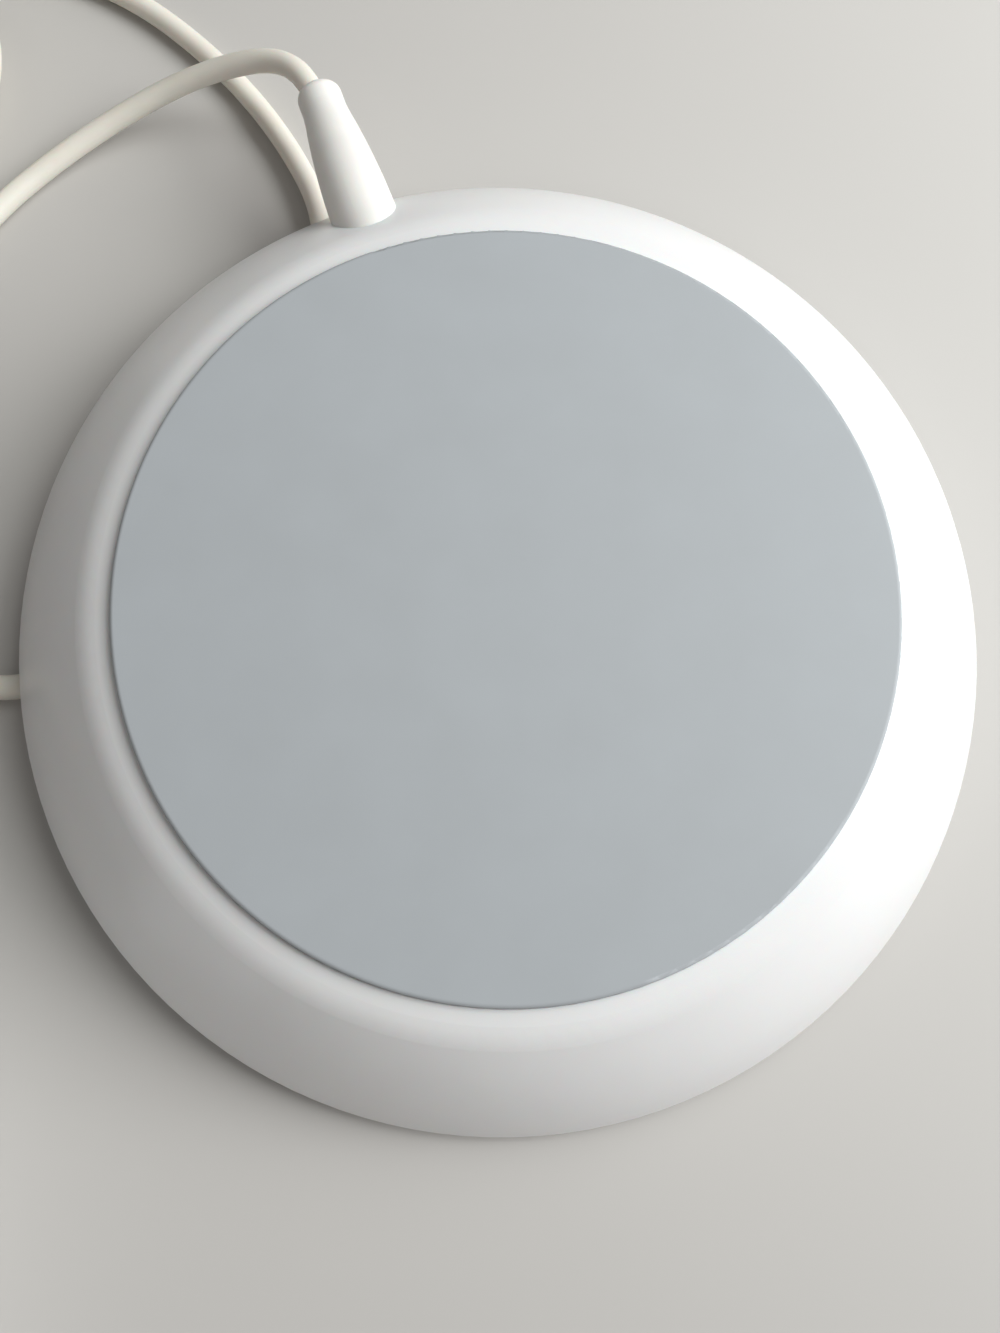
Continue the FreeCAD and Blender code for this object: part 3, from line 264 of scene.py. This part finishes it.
@dataclass(frozen=True)
class Moulded:
    """Moulded plastic or rubber: cloudy colour, a fine spark-eroded grain and faint rub marks."""

    name: str
    colour: Colour
    shade: Colour
    roughness: float
    spread: float = 0.06
    cloud: float = 14 * MM
    grain: float = 0.12 * MM
    depth: float = 0.004 * MM
    ripple: float = 0.0
    sheen: float = 0.0
    coat: float = 0.0
    under_skin: float = 0.0

    CLOUD_LAYERS: ClassVar[tuple[float, float]] = (4.0, 0.55)
    GRAIN_LAYERS: ClassVar[tuple[float, float]] = (3.0, 0.6)
    PATCHES: ClassVar[Stops] = ((0.3, 0.0), (0.7, 1.0))
    CLOUD_SHARE: ClassVar[float] = 0.7
    GRAIN_SHARE: ClassVar[float] = 0.3
    RIPPLES_IN_A_CLOUD: ClassVar[float] = 3
    SKIN_DEPTH: ClassVar[float] = 1.5 * MM

    def make(self) -> bpy.types.Material:
        """Make the material.

        Returns:
            The material.
        """
        shop = Shop(self.name)
        cloud = shop.noise(self.cloud, *self.CLOUD_LAYERS)
        fine = shop.noise(self.grain, *self.GRAIN_LAYERS)
        amount = shop.ramp(cloud, self.PATCHES)
        uneven = cloud * self.CLOUD_SHARE + fine * self.GRAIN_SHARE
        rough = self.roughness - self.spread / 2 + uneven * self.spread
        normal = shop.relief(fine, self.depth)
        if self.ripple:
            ripples = shop.noise(self.cloud / self.RIPPLES_IN_A_CLOUD, 1.0)
            normal = shop.relief(ripples, self.ripple, 1.0, normal)
        return shop.finish(
            Base_Color=shop.blend(amount, self.colour, self.shade),
            Roughness=rough,
            Normal=normal,
            Sheen_Weight=self.sheen,
            Coat_Weight=self.coat,
            Subsurface_Weight=self.under_skin,
            Subsurface_Scale=self.SKIN_DEPTH,
        )


@dataclass(frozen=True)
class Metal:
    """Metal with fine scratches drawn along one axis, and a slight tarnish."""

    name: str
    colour: Colour
    tarnish: Colour
    roughness: float
    drawn: Point

    SCRATCH: ClassVar[float] = 0.25 * MM
    SCRATCH_LAYERS: ClassVar[tuple[float, float]] = (5.0, 0.65)
    SCRATCH_DEPTH: ClassVar[float] = 0.003 * MM
    SCRATCH_STRENGTH: ClassVar[float] = 0.6
    SCRATCH_DULLS: ClassVar[float] = 0.18
    STAIN: ClassVar[float] = 3 * MM
    STAIN_DETAIL: ClassVar[float] = 3.0
    STAIN_STOPS: ClassVar[Stops] = ((0.35, 0.0), (0.75, 1.0))

    def make(self) -> bpy.types.Material:
        """Make the material.

        Returns:
            The material.
        """
        shop = Shop(self.name)
        lines = shop.noise(self.SCRATCH, *self.SCRATCH_LAYERS, shop.stretched(self.drawn))
        stain = shop.ramp(shop.noise(self.STAIN, self.STAIN_DETAIL), self.STAIN_STOPS)
        return shop.finish(
            Base_Color=shop.blend(stain, self.colour, self.tarnish),
            Metallic=1.0,
            Roughness=self.roughness + lines * self.SCRATCH_DULLS,
            Normal=shop.relief(lines, self.SCRATCH_DEPTH, self.SCRATCH_STRENGTH),
        )


class Finish(Enum):
    """Every finish of the object, by the record's slot."""

    shell_white = Moulded(
        "shell_white", (0.80, 0.80, 0.80), (0.77, 0.77, 0.775), 0.30,
        spread=0.05, cloud=22 * MM, grain=0.09 * MM, depth=0.0016 * MM,
        ripple=0.02 * MM, under_skin=0.15,
    )
    pad_grey = Moulded(
        "pad_grey", (0.366, 0.389, 0.408), (0.380, 0.405, 0.426), 0.66,
        spread=0.12, cloud=9 * MM, grain=0.11 * MM, depth=0.005 * MM, sheen=0.12,
    )
    boot_white = Moulded(
        "boot_white", (0.82, 0.81, 0.78), (0.78, 0.77, 0.74), 0.44,
        cloud=5 * MM, grain=0.1 * MM, depth=0.003 * MM, under_skin=0.2,
    )
    cord_jacket = Moulded(
        "cord_jacket", (0.80, 0.775, 0.70), (0.755, 0.73, 0.655), 0.46,
        spread=0.1, cloud=6 * MM, grain=0.14 * MM, depth=0.006 * MM, under_skin=0.2,
    )
    tie_white = Moulded(
        "tie_white", (0.74, 0.74, 0.72), (0.68, 0.68, 0.66), 0.62,
        cloud=3 * MM, grain=0.2 * MM, depth=0.012 * MM, sheen=0.2,
    )
    adapter_white = Moulded(
        "adapter_white", (0.80, 0.80, 0.79), (0.77, 0.77, 0.76), 0.3,
        spread=0.08, cloud=18 * MM, grain=0.16 * MM, depth=0.003 * MM, coat=0.15,
    )
    grey_rubber = Moulded("grey_rubber", (0.07, 0.07, 0.075), (0.09, 0.09, 0.095), 0.7)
    inner_plastic = Moulded("inner_plastic", (0.03, 0.03, 0.033), (0.045, 0.045, 0.05), 0.5)
    adhesive_film = Moulded("adhesive_film", (0.60, 0.57, 0.45), (0.55, 0.52, 0.41), 0.35)
    board_green = Moulded(
        "board_green", (0.02, 0.10, 0.035), (0.025, 0.13, 0.05), 0.32,
        cloud=4 * MM, grain=0.3 * MM, coat=0.4,
    )
    chip_black = Moulded(
        "chip_black", (0.02, 0.02, 0.02), (0.03, 0.03, 0.03), 0.55, cloud=2 * MM
    )
    capacitor_tan = Moulded(
        "capacitor_tan", (0.33, 0.21, 0.11), (0.27, 0.17, 0.09), 0.5, cloud=2 * MM
    )
    ferrite_grey = Moulded(
        "ferrite_grey", (0.05, 0.05, 0.052), (0.08, 0.08, 0.08), 0.6, cloud=3 * MM
    )
    connector_ivory = Moulded("connector_ivory", (0.72, 0.67, 0.54), (0.66, 0.61, 0.48), 0.42)
    wire_red = Moulded(
        "wire_red", (0.35, 0.015, 0.012), (0.28, 0.012, 0.01), 0.35, cloud=3 * MM
    )
    wire_black = Moulded(
        "wire_black", (0.012, 0.012, 0.012), (0.02, 0.02, 0.02), 0.35, cloud=3 * MM
    )
    capacitor_sleeve = Moulded(
        "capacitor_sleeve", (0.01, 0.012, 0.03), (0.015, 0.018, 0.04), 0.28
    )
    screw_steel = Metal(
        "screw_steel", (0.52, 0.52, 0.53), (0.42, 0.41, 0.39), 0.3, (1.0, 1.0, 1.0)
    )
    ballast_steel = Metal(
        "ballast_steel", (0.42, 0.43, 0.44), (0.33, 0.32, 0.30), 0.38, (12.0, 1.0, 1.0)
    )
    spring_steel = Metal(
        "spring_steel", (0.55, 0.55, 0.56), (0.45, 0.44, 0.42), 0.28, (1.0, 1.0, 1.0)
    )
    barrel_brass = Metal(
        "barrel_brass", (0.62, 0.43, 0.16), (0.45, 0.30, 0.12), 0.3, (1.0, 1.0, 8.0)
    )
    pin_gilt = Metal(
        "pin_gilt", (0.83, 0.60, 0.24), (0.76, 0.53, 0.21), 0.2, (1.0, 1.0, 8.0)
    )
    blade_nickel = Metal(
        "blade_nickel", (0.66, 0.63, 0.57), (0.56, 0.52, 0.46), 0.25, (1.0, 10.0, 0.6)
    )


class Paint:
    """Makes each finish once and puts it on pieces."""

    def __init__(self) -> None:
        """Start with none made."""
        self.made: dict[str, bpy.types.Material] = {}

    def put(self, piece: bpy.types.Object, finish: Finish) -> None:
        """Give a piece one finish all over.

        Args:
            piece: the piece.
            finish: its finish.
        """
        if finish.name not in self.made:
            self.made[finish.name] = finish.value.make()
        piece.data.materials.clear()
        piece.data.materials.append(self.made[finish.name])


# Modelling helpers


def alone(piece: bpy.types.Object | None = None) -> None:
    """Select nothing, or one piece only.

    Args:
        piece: the piece to select and make active.
    """
    bpy.ops.object.select_all(action="DESELECT")
    if piece is not None:
        piece.select_set(True)
        bpy.context.view_layer.objects.active = piece


def settle(piece: bpy.types.Object) -> None:
    """Put a piece's place, turn and size into its mesh.

    Args:
        piece: the piece.
    """
    alone(piece)
    bpy.ops.object.transform_apply(location=True, rotation=True, scale=True)


def modify(piece: bpy.types.Object, kind: str, **settings: Any) -> None:
    """Add one modifier and apply it.

    Args:
        piece: the piece.
        kind: the modifier's type.
        **settings: its settings.
    """
    alone(piece)
    made = piece.modifiers.new(kind.lower(), kind)
    for key, value in settings.items():
        setattr(made, key, value)
    bpy.ops.object.modifier_apply(modifier=made.name)


def smooth(piece: bpy.types.Object, degrees: float) -> None:
    """Shade smooth, with edges above an angle left sharp.

    Args:
        piece: the piece.
        degrees: that angle.
    """
    alone(piece)
    bpy.ops.object.shade_smooth_by_angle(angle=math.radians(degrees))


def pick_edges(piece: bpy.types.Object, test: Callable[[Any], bool]) -> None:
    """In edit mode, select the edges that pass a test.

    Args:
        piece: the piece in edit mode.
        test: what each edge has to pass.
    """
    bpy.ops.mesh.select_all(action="DESELECT")
    bpy.ops.mesh.select_mode(type="EDGE")
    mesh = bmesh.from_edit_mesh(piece.data)
    for edge in mesh.edges:
        edge.select_set(test(edge))
    bmesh.update_edit_mesh(piece.data)


# The lead


@dataclass
class CoilWinding:
    """The put-away length: clockwise turns, in and out again, from the top layer down."""

    centre: tuple[float, float] = (-86.4, 69.4)
    outer: float = 21.0
    step: float = 4.0
    layer_rise: float = 3.3
    layers: int = 4
    low: float = 2.22
    entry: float = 200.0
    sweep: float = 3700.0
    reversal: float = 180.0
    pace: float = 30.0

    @property
    def layer_sweep(self) -> float:
        """Degrees wound in one layer."""
        return (self.sweep - (self.layers - 1) * self.reversal) / self.layers

    @property
    def inner(self) -> float:
        """Radius of the innermost turn."""
        return self.outer - self.step * self.layer_sweep / 360.0

    @property
    def high(self) -> float:
        """Height of the top layer."""
        return self.low + (self.layers - 1) * self.layer_rise

    def point(self, swept: float) -> Point:
        """Find a control point, outside its turn by what the curve cuts off.

        Args:
            swept: degrees wound so far.

        Returns:
            The point, in millimetres.
        """
        cycle = self.layer_sweep + self.reversal
        layer = min(self.layers - 1, max(0, int(swept // cycle)))
        within = swept - layer * cycle
        travelled = max(0.0, min(within, self.layer_sweep)) * self.step / 360.0
        radius = self.outer - travelled if layer % 2 == 0 else self.inner + travelled
        radius /= math.cos(math.radians(self.pace / 2))
        climbed = layer + max(0.0, within - self.layer_sweep) / self.reversal
        angle = math.radians(self.entry - swept)
        x, y = self.centre
        height = self.high - climbed * self.layer_rise
        return (x + radius * math.cos(angle), y + radius * math.sin(angle), height)

    def points(self) -> list[Point]:
        """All its control points, in millimetres."""
        count = round(self.sweep / self.pace)
        return [self.point(self.sweep / count * (i + 0.5)) for i in range(count)]


@dataclass
class Lead:
    """The thin round lead, from the strain relief over and under itself to the adapter."""

    paint: Paint
    radius: float = 1.42
    length: float = 1.390
    steps_between_points: int = 8
    steps_round: int = 5
    winding: CoilWinding = field(default_factory=CoilWinding)
    near: tuple[Point, ...] = (
        (-20.315, 56.417, 12.698),
        (-21.99, 61.021, 12.809),
        (-26.7, 68.0, 11.4),
        (-36.2, 69.2, 7.9),
        (-46.1, 67.4, 4.1),
        (-56.6, 61.6, 1.7),
        (-65.2, 53.1, 1.42),
        (-71.0, 43.0, 1.7),
        (-78.4, 34.6, 3.6),
        (-88.6, 30.9, 6.6),
        (-98.0, 36.0, 9.9),
        (-101.571, 49.682, 12.12),
    )
    far: tuple[Point, ...] = (
        (-78.78, 92.067, 2.22),
        (-68.6, 93.0, 1.6),
        (-58.8, 89.9, 1.42),
        (-49.1, 85.0, 1.42),
        (-40.7, 78.1, 1.42),
        (-33.2, 70.1, 1.42),
        (-27.35, 61.7, 1.42),
        (-23.05, 53.0, 1.42),
        (-22.6, 44.8, 1.42),
        (-26.5, 37.2, 1.42),
        (-32.0, 30.8, 1.42),
        (-36.8, 24.2, 1.42),
        (-40.2, 16.2, 1.42),
        (-42.8, 7.2, 1.42),
        (-46.2, -1.8, 1.42),
        (-53.6, -9.1, 1.42),
        (-64.2, -7.4, 1.7),
        (-71.2, -9.4, 3.6),
        (-76.8, -13.4, 6.2),
        (-79.6, -18.6, 8.7),
        (-80.0, -25.4, 10.0),
        (-80.0, -32.0, 10.0),
    )

    def build(self) -> bpy.types.Object:
        """Make the lead as one smooth curve.

        Returns:
            The lead.
        """
        route = [*self.near, *self.winding.points(), *self.far]
        curve = bpy.data.curves.new("lead", "CURVE")
        curve.dimensions = "3D"
        curve.resolution_u = self.steps_between_points
        curve.bevel_depth = self.radius * MM
        curve.bevel_resolution = self.steps_round
        curve.use_fill_caps = True
        spline = curve.splines.new("NURBS")
        spline.points.add(len(route) - 1)
        for point, (x, y, z) in zip(spline.points, route):
            point.co = (x * MM, y * MM, z * MM, 1.0)
        spline.order_u = 3
        spline.use_endpoint_u = True
        lead = bpy.data.objects.new("lead", curve)
        bpy.context.scene.collection.objects.link(lead)
        self.paint.put(lead, Finish.cord_jacket)
        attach(lead, "coaster")
        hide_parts("cord_run_near", "cord_coil", "cord_run_far")
        LOG.info("lead follows %d points", len(route))
        return lead


@dataclass
class CoilStraps:
    """Two soft straps round the turns, each closed with its tail over its own start."""

    paint: Paint
    winding: CoilWinding
    cord_radius: float = 1.42
    angles: tuple[float, ...] = (140.0, 320.0)
    width: float = 7.0
    thick: float = 0.7
    room: float = 0.1
    corner: float = 2.1
    dent: float = 0.22
    start_share: float = 0.40
    tail_share: float = 0.83
    tail_taper: float = 0.72
    tail_gap: float = 0.06
    tail_foot: float = 1.1
    foot_lift: float = 0.05
    tail_shift: float = 0.5
    tip_length: float = 0.8
    tip_lifts: tuple[float, float] = (0.02, 0.12)
    edge_round: float = 0.12
    edge_angle: float = 60.0

    def limits(self) -> tuple[float, float, float, float]:
        """Find how far the strap's middle line reaches round the turns.

        Returns:
            Its place at the inside, outside, bottom and top of the turns.
        """
        winding = self.winding
        off = self.cord_radius + self.room + self.thick / 2
        curve = winding.inner - math.sqrt(winding.inner**2 - self.width**2 / 4)
        inside, outside = winding.inner - curve - off, winding.outer + off
        return inside, outside, winding.low - off, winding.high + off

    def side(self, out: float, inward: float, upwards: bool) -> list[tuple[float, float]]:
        """Draw one upright side, which dents a little between the layers.

        Args:
            out: distance of the side from the coil's centre.
            inward: the way in, 1 or -1.
            upwards: whether the strap runs up here.

        Returns:
            Its points, out and up.
        """
        winding = self.winding
        points = []
        for layer in range(2 * winding.layers - 1):
            height = winding.low + layer * winding.layer_rise / 2
            points.append((out + inward * self.dent * (layer % 2), height))
        points = points[1:-1]
        return points if upwards else points[::-1]

    def bend(self, out: float, up: float, start: float) -> list[tuple[float, float]]:
        """Draw a corner, turned clockwise in three steps.

        Args:
            out: distance of its middle from the coil's centre.
            up: height of its middle.
            start: the angle it starts at, in degrees.

        Returns:
            Its points, out and up.
        """
        turns = [math.radians(start - 45.0 * i) for i in range(3)]
        radius = self.corner
        return [(out + radius * math.cos(turn), up + radius * math.sin(turn)) for turn in turns]

    def path(self) -> list[tuple[float, float]]:
        """Draw the way round the turns, from the start on top to the end of the tail.

        Returns:
            Its points, out and up.
        """
        inside, outside, low, high = self.limits()
        across, tail_rise = outside - inside, self.thick + self.tail_gap
        start, end = inside + across * self.start_share, inside + across * self.tail_share
        left, right = inside + self.corner, outside - self.corner
        under, over = low + self.corner, high - self.corner
        return [
            (start, high),
            ((start + right) / 2, high),
            *self.bend(right, over, 90.0),
            *self.side(outside, -1.0, False),
            *self.bend(right, under, 0.0),
            ((left + right) / 2, low),
            *self.bend(left, under, -90.0),
            *self.side(inside, 1.0, True),
            *self.bend(left, over, 180.0),
            (start - self.tail_foot, high + self.foot_lift),
            (start + self.tail_shift, high + tail_rise),
            ((start + end) / 2 + self.tail_shift, high + tail_rise),
            (end - self.tip_length, high + tail_rise + self.tip_lifts[0]),
            (end, high + tail_rise + self.tip_lifts[1]),
        ]

    def build(self, count: int, angle: float) -> bpy.types.Object:
        """Draw one strap out from a strip, along its way round the turns.

        Args:
            count: its number.
            angle: where it sits on the coil, in degrees.

        Returns:
            The strap.
        """
        path = self.path()
        (out, up), (reach, _) = path[0], path[1]
        middle = (out + reach) / 2 * MM
        alone()
        bpy.ops.mesh.primitive_plane_add(size=1.0)
        strap = bpy.context.object
        strap.name = strap.data.name = f"coil_strap_{count}"
        bpy.ops.object.mode_set(mode="EDIT")
        bpy.ops.transform.resize(value=((reach - out) * MM, self.width * MM, 1.0))
        bpy.ops.transform.translate(value=(middle, 0.0, up * MM))
        pick_edges(strap, lambda edge: all(vertex.co.x > middle for vertex in edge.verts))
        for before, after in zip(path[1:], path[2:]):
            step = ((after[0] - before[0]) * MM, 0.0, (after[1] - before[1]) * MM)
            bpy.ops.mesh.extrude_region_move(TRANSFORM_OT_translate={"value": step})
        bpy.ops.transform.resize(value=(1.0, self.tail_taper, 1.0))
        bpy.ops.object.mode_set(mode="OBJECT")
        modify(strap, "SOLIDIFY", thickness=self.thick * MM, offset=0.0, use_even_offset=True)
        modify(
            strap, "BEVEL", width=self.edge_round * MM, segments=2,
            limit_method="ANGLE", angle_limit=math.radians(self.edge_angle),
        )
        modify(strap, "SUBSURF", levels=2, render_levels=2)
        strap.rotation_euler = (0.0, 0.0, math.radians(angle))
        strap.location = (self.winding.centre[0] * MM, self.winding.centre[1] * MM, 0.0)
        settle(strap)
        smooth(strap, self.edge_angle)
        self.paint.put(strap, Finish.tie_white)
        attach(strap, "coaster")
        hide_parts("coil_ties")
        LOG.info("%s holds the turns at %.0f degrees", strap.name, angle)
        return strap

    def build_all(self) -> list[bpy.types.Object]:
        """Both straps."""
        return [self.build(i, angle) for i, angle in enumerate(self.angles, start=1)]


# Camera, floor and light


@dataclass(frozen=True)
class Viewpoint:
    """Where the photograph was taken from, with its lens in pixels of a 1000 by 1333 picture."""

    place: Point = (-1.637, -23.991, 119.936)
    ahead: Point = (0.000862, 0.244413, -0.969671)
    upward: Point = (-0.000217, 0.969671, 0.244413)
    focal: float = 1040.0
    middle: tuple[float, float] = (490.0, 566.5)
    picture: tuple[int, int] = (1000, 1333)
    sensor: float = 36.0
    nearest: float = 5 * MM
    farthest: float = 10.0

    def build(self) -> None:
        """Make the camera and use it."""
        wide, high = self.picture
        data = bpy.data.cameras.new("photo_camera")
        data.sensor_width = self.sensor
        data.lens = self.sensor * self.focal / high
        data.shift_x = (wide / 2 - self.middle[0]) / high
        data.shift_y = (self.middle[1] - high / 2) / high
        data.clip_start = self.nearest
        data.clip_end = self.farthest
        ahead, upward = Vector(self.ahead).normalized(), Vector(self.upward).normalized()
        across = ahead.cross(upward).normalized()
        turn = Matrix((across, across.cross(ahead), -ahead)).transposed()
        camera = bpy.data.objects.new("photo_camera", data)
        bpy.context.scene.collection.objects.link(camera)
        camera.matrix_world = Matrix.Translation(Vector(self.place) * MM) @ turn.to_4x4()
        bpy.context.scene.camera = camera


@dataclass(frozen=True)
class Softbox:
    """One square soft light near the coaster."""

    name: str
    place: Point
    side: float
    power: float
    colour: Colour
    aim: Point = (0.0, 0.0, 0.01)

    def build(self) -> None:
        """Make the light."""
        data = bpy.data.lights.new(self.name, "AREA")
        data.size = self.side
        data.energy = self.power
        data.color = self.colour
        way = Vector(self.aim) - Vector(self.place)
        hang(self.name, data, self.place, way.to_track_quat("-Z", "Y"))


@dataclass(frozen=True)
class Daylight:
    """Even light from one side, as wide as a window."""

    name: str
    side: Point
    width: float
    power: float
    colour: Colour

    def build(self) -> None:
        """Make the light."""
        data = bpy.data.lights.new(self.name, "SUN")
        data.angle = math.radians(self.width)
        data.energy = self.power
        data.color = self.colour
        hang(self.name, data, self.side, Vector(self.side).to_track_quat("Z", "Y"))


def hang(name: str, data: bpy.types.Light, place: Point, turn: Quaternion) -> None:
    """Put a light in the scene.

    Args:
        name: its name.
        data: the light itself.
        place: where it hangs.
        turn: how it is turned.
    """
    light = bpy.data.objects.new(name, data)
    bpy.context.scene.collection.objects.link(light)
    light.location = place
    light.rotation_mode = "QUATERNION"
    light.rotation_quaternion = turn


@dataclass
class Studio:
    """The pale floor, the soft lights and the sky."""

    floor_side: float = 12.0
    floor_colour: Colour = (0.54, 0.525, 0.505)
    floor_shade: Colour = (0.52, 0.505, 0.485)
    floor_cloud: float = 60 * MM
    floor_detail: float = 3.0
    floor_roughness: float = 0.75
    sky: Colour = (1.0, 0.98, 0.96)
    sky_power: float = 0.18
    lights: tuple[Softbox | Daylight, ...] = (
        Softbox("window", (0.282, 0.010, 0.254), 0.22, 0.86, (0.97, 1.0, 0.99)),
        Softbox("high_window", (0.187, 0.157, 0.291), 0.22, 0.67, (0.98, 1.0, 0.98)),
        Daylight("low_daylight", (0.906, 0.032, 0.423), 30.0, 1.36, (1.0, 0.98, 1.0)),
        Daylight("warm_fill", (-0.641, -0.641, 0.423), 40.0, 0.12, (1.0, 0.85, 0.78)),
    )

    def build(self) -> None:
        """Make them all."""
        alone()
        bpy.ops.mesh.primitive_plane_add(size=self.floor_side, location=(0.0, 0.0, 0.0))
        floor = bpy.context.object
        floor.name = "floor"
        shop = Shop("floor")
        amount = shop.noise(self.floor_cloud, self.floor_detail)
        colour = shop.blend(amount, self.floor_colour, self.floor_shade)
        shop.finish(Base_Color=colour, Roughness=self.floor_roughness)
        floor.data.materials.append(shop.material)
        for light in self.lights:
            light.build()
        world = bpy.data.worlds.new("sky")
        world.use_nodes = True
        sky = world.node_tree.nodes["Background"]
        sky.inputs["Color"].default_value = (*self.sky, 1.0)
        sky.inputs["Strength"].default_value = self.sky_power
        bpy.context.scene.world = world
        bpy.context.scene.view_settings.view_transform = "Standard"


# The coaster and the adapter as modelled


@dataclass
class Pieces:
    """The solids that keep their own shape, and their finishes."""

    paint: Paint
    nodes: dict[str, bpy.types.Object]
    record: dict[str, Any]

    def dress(self) -> None:
        """Give each solid the finish of its slot."""
        for part in self.record["subparts"]:
            piece = self.nodes[part["node"]]
            self.paint.put(piece, Finish[part["material_slot"]])
            LOG.info("%s has %s", part["node"], part["material_slot"])


def main() -> None:
    """Build the scene."""
    logging.basicConfig(level=logging.INFO, format="%(name)s: %(message)s")
    paint = Paint()
    Viewpoint().build()
    Studio().build()
    Pieces(paint, frame["nodes"], frame["record"]).dress()
    lead = Lead(paint)
    cord = lead.build()
    straps = CoilStraps(paint, lead.winding).build_all()


if __name__ == "__main__":
    main()
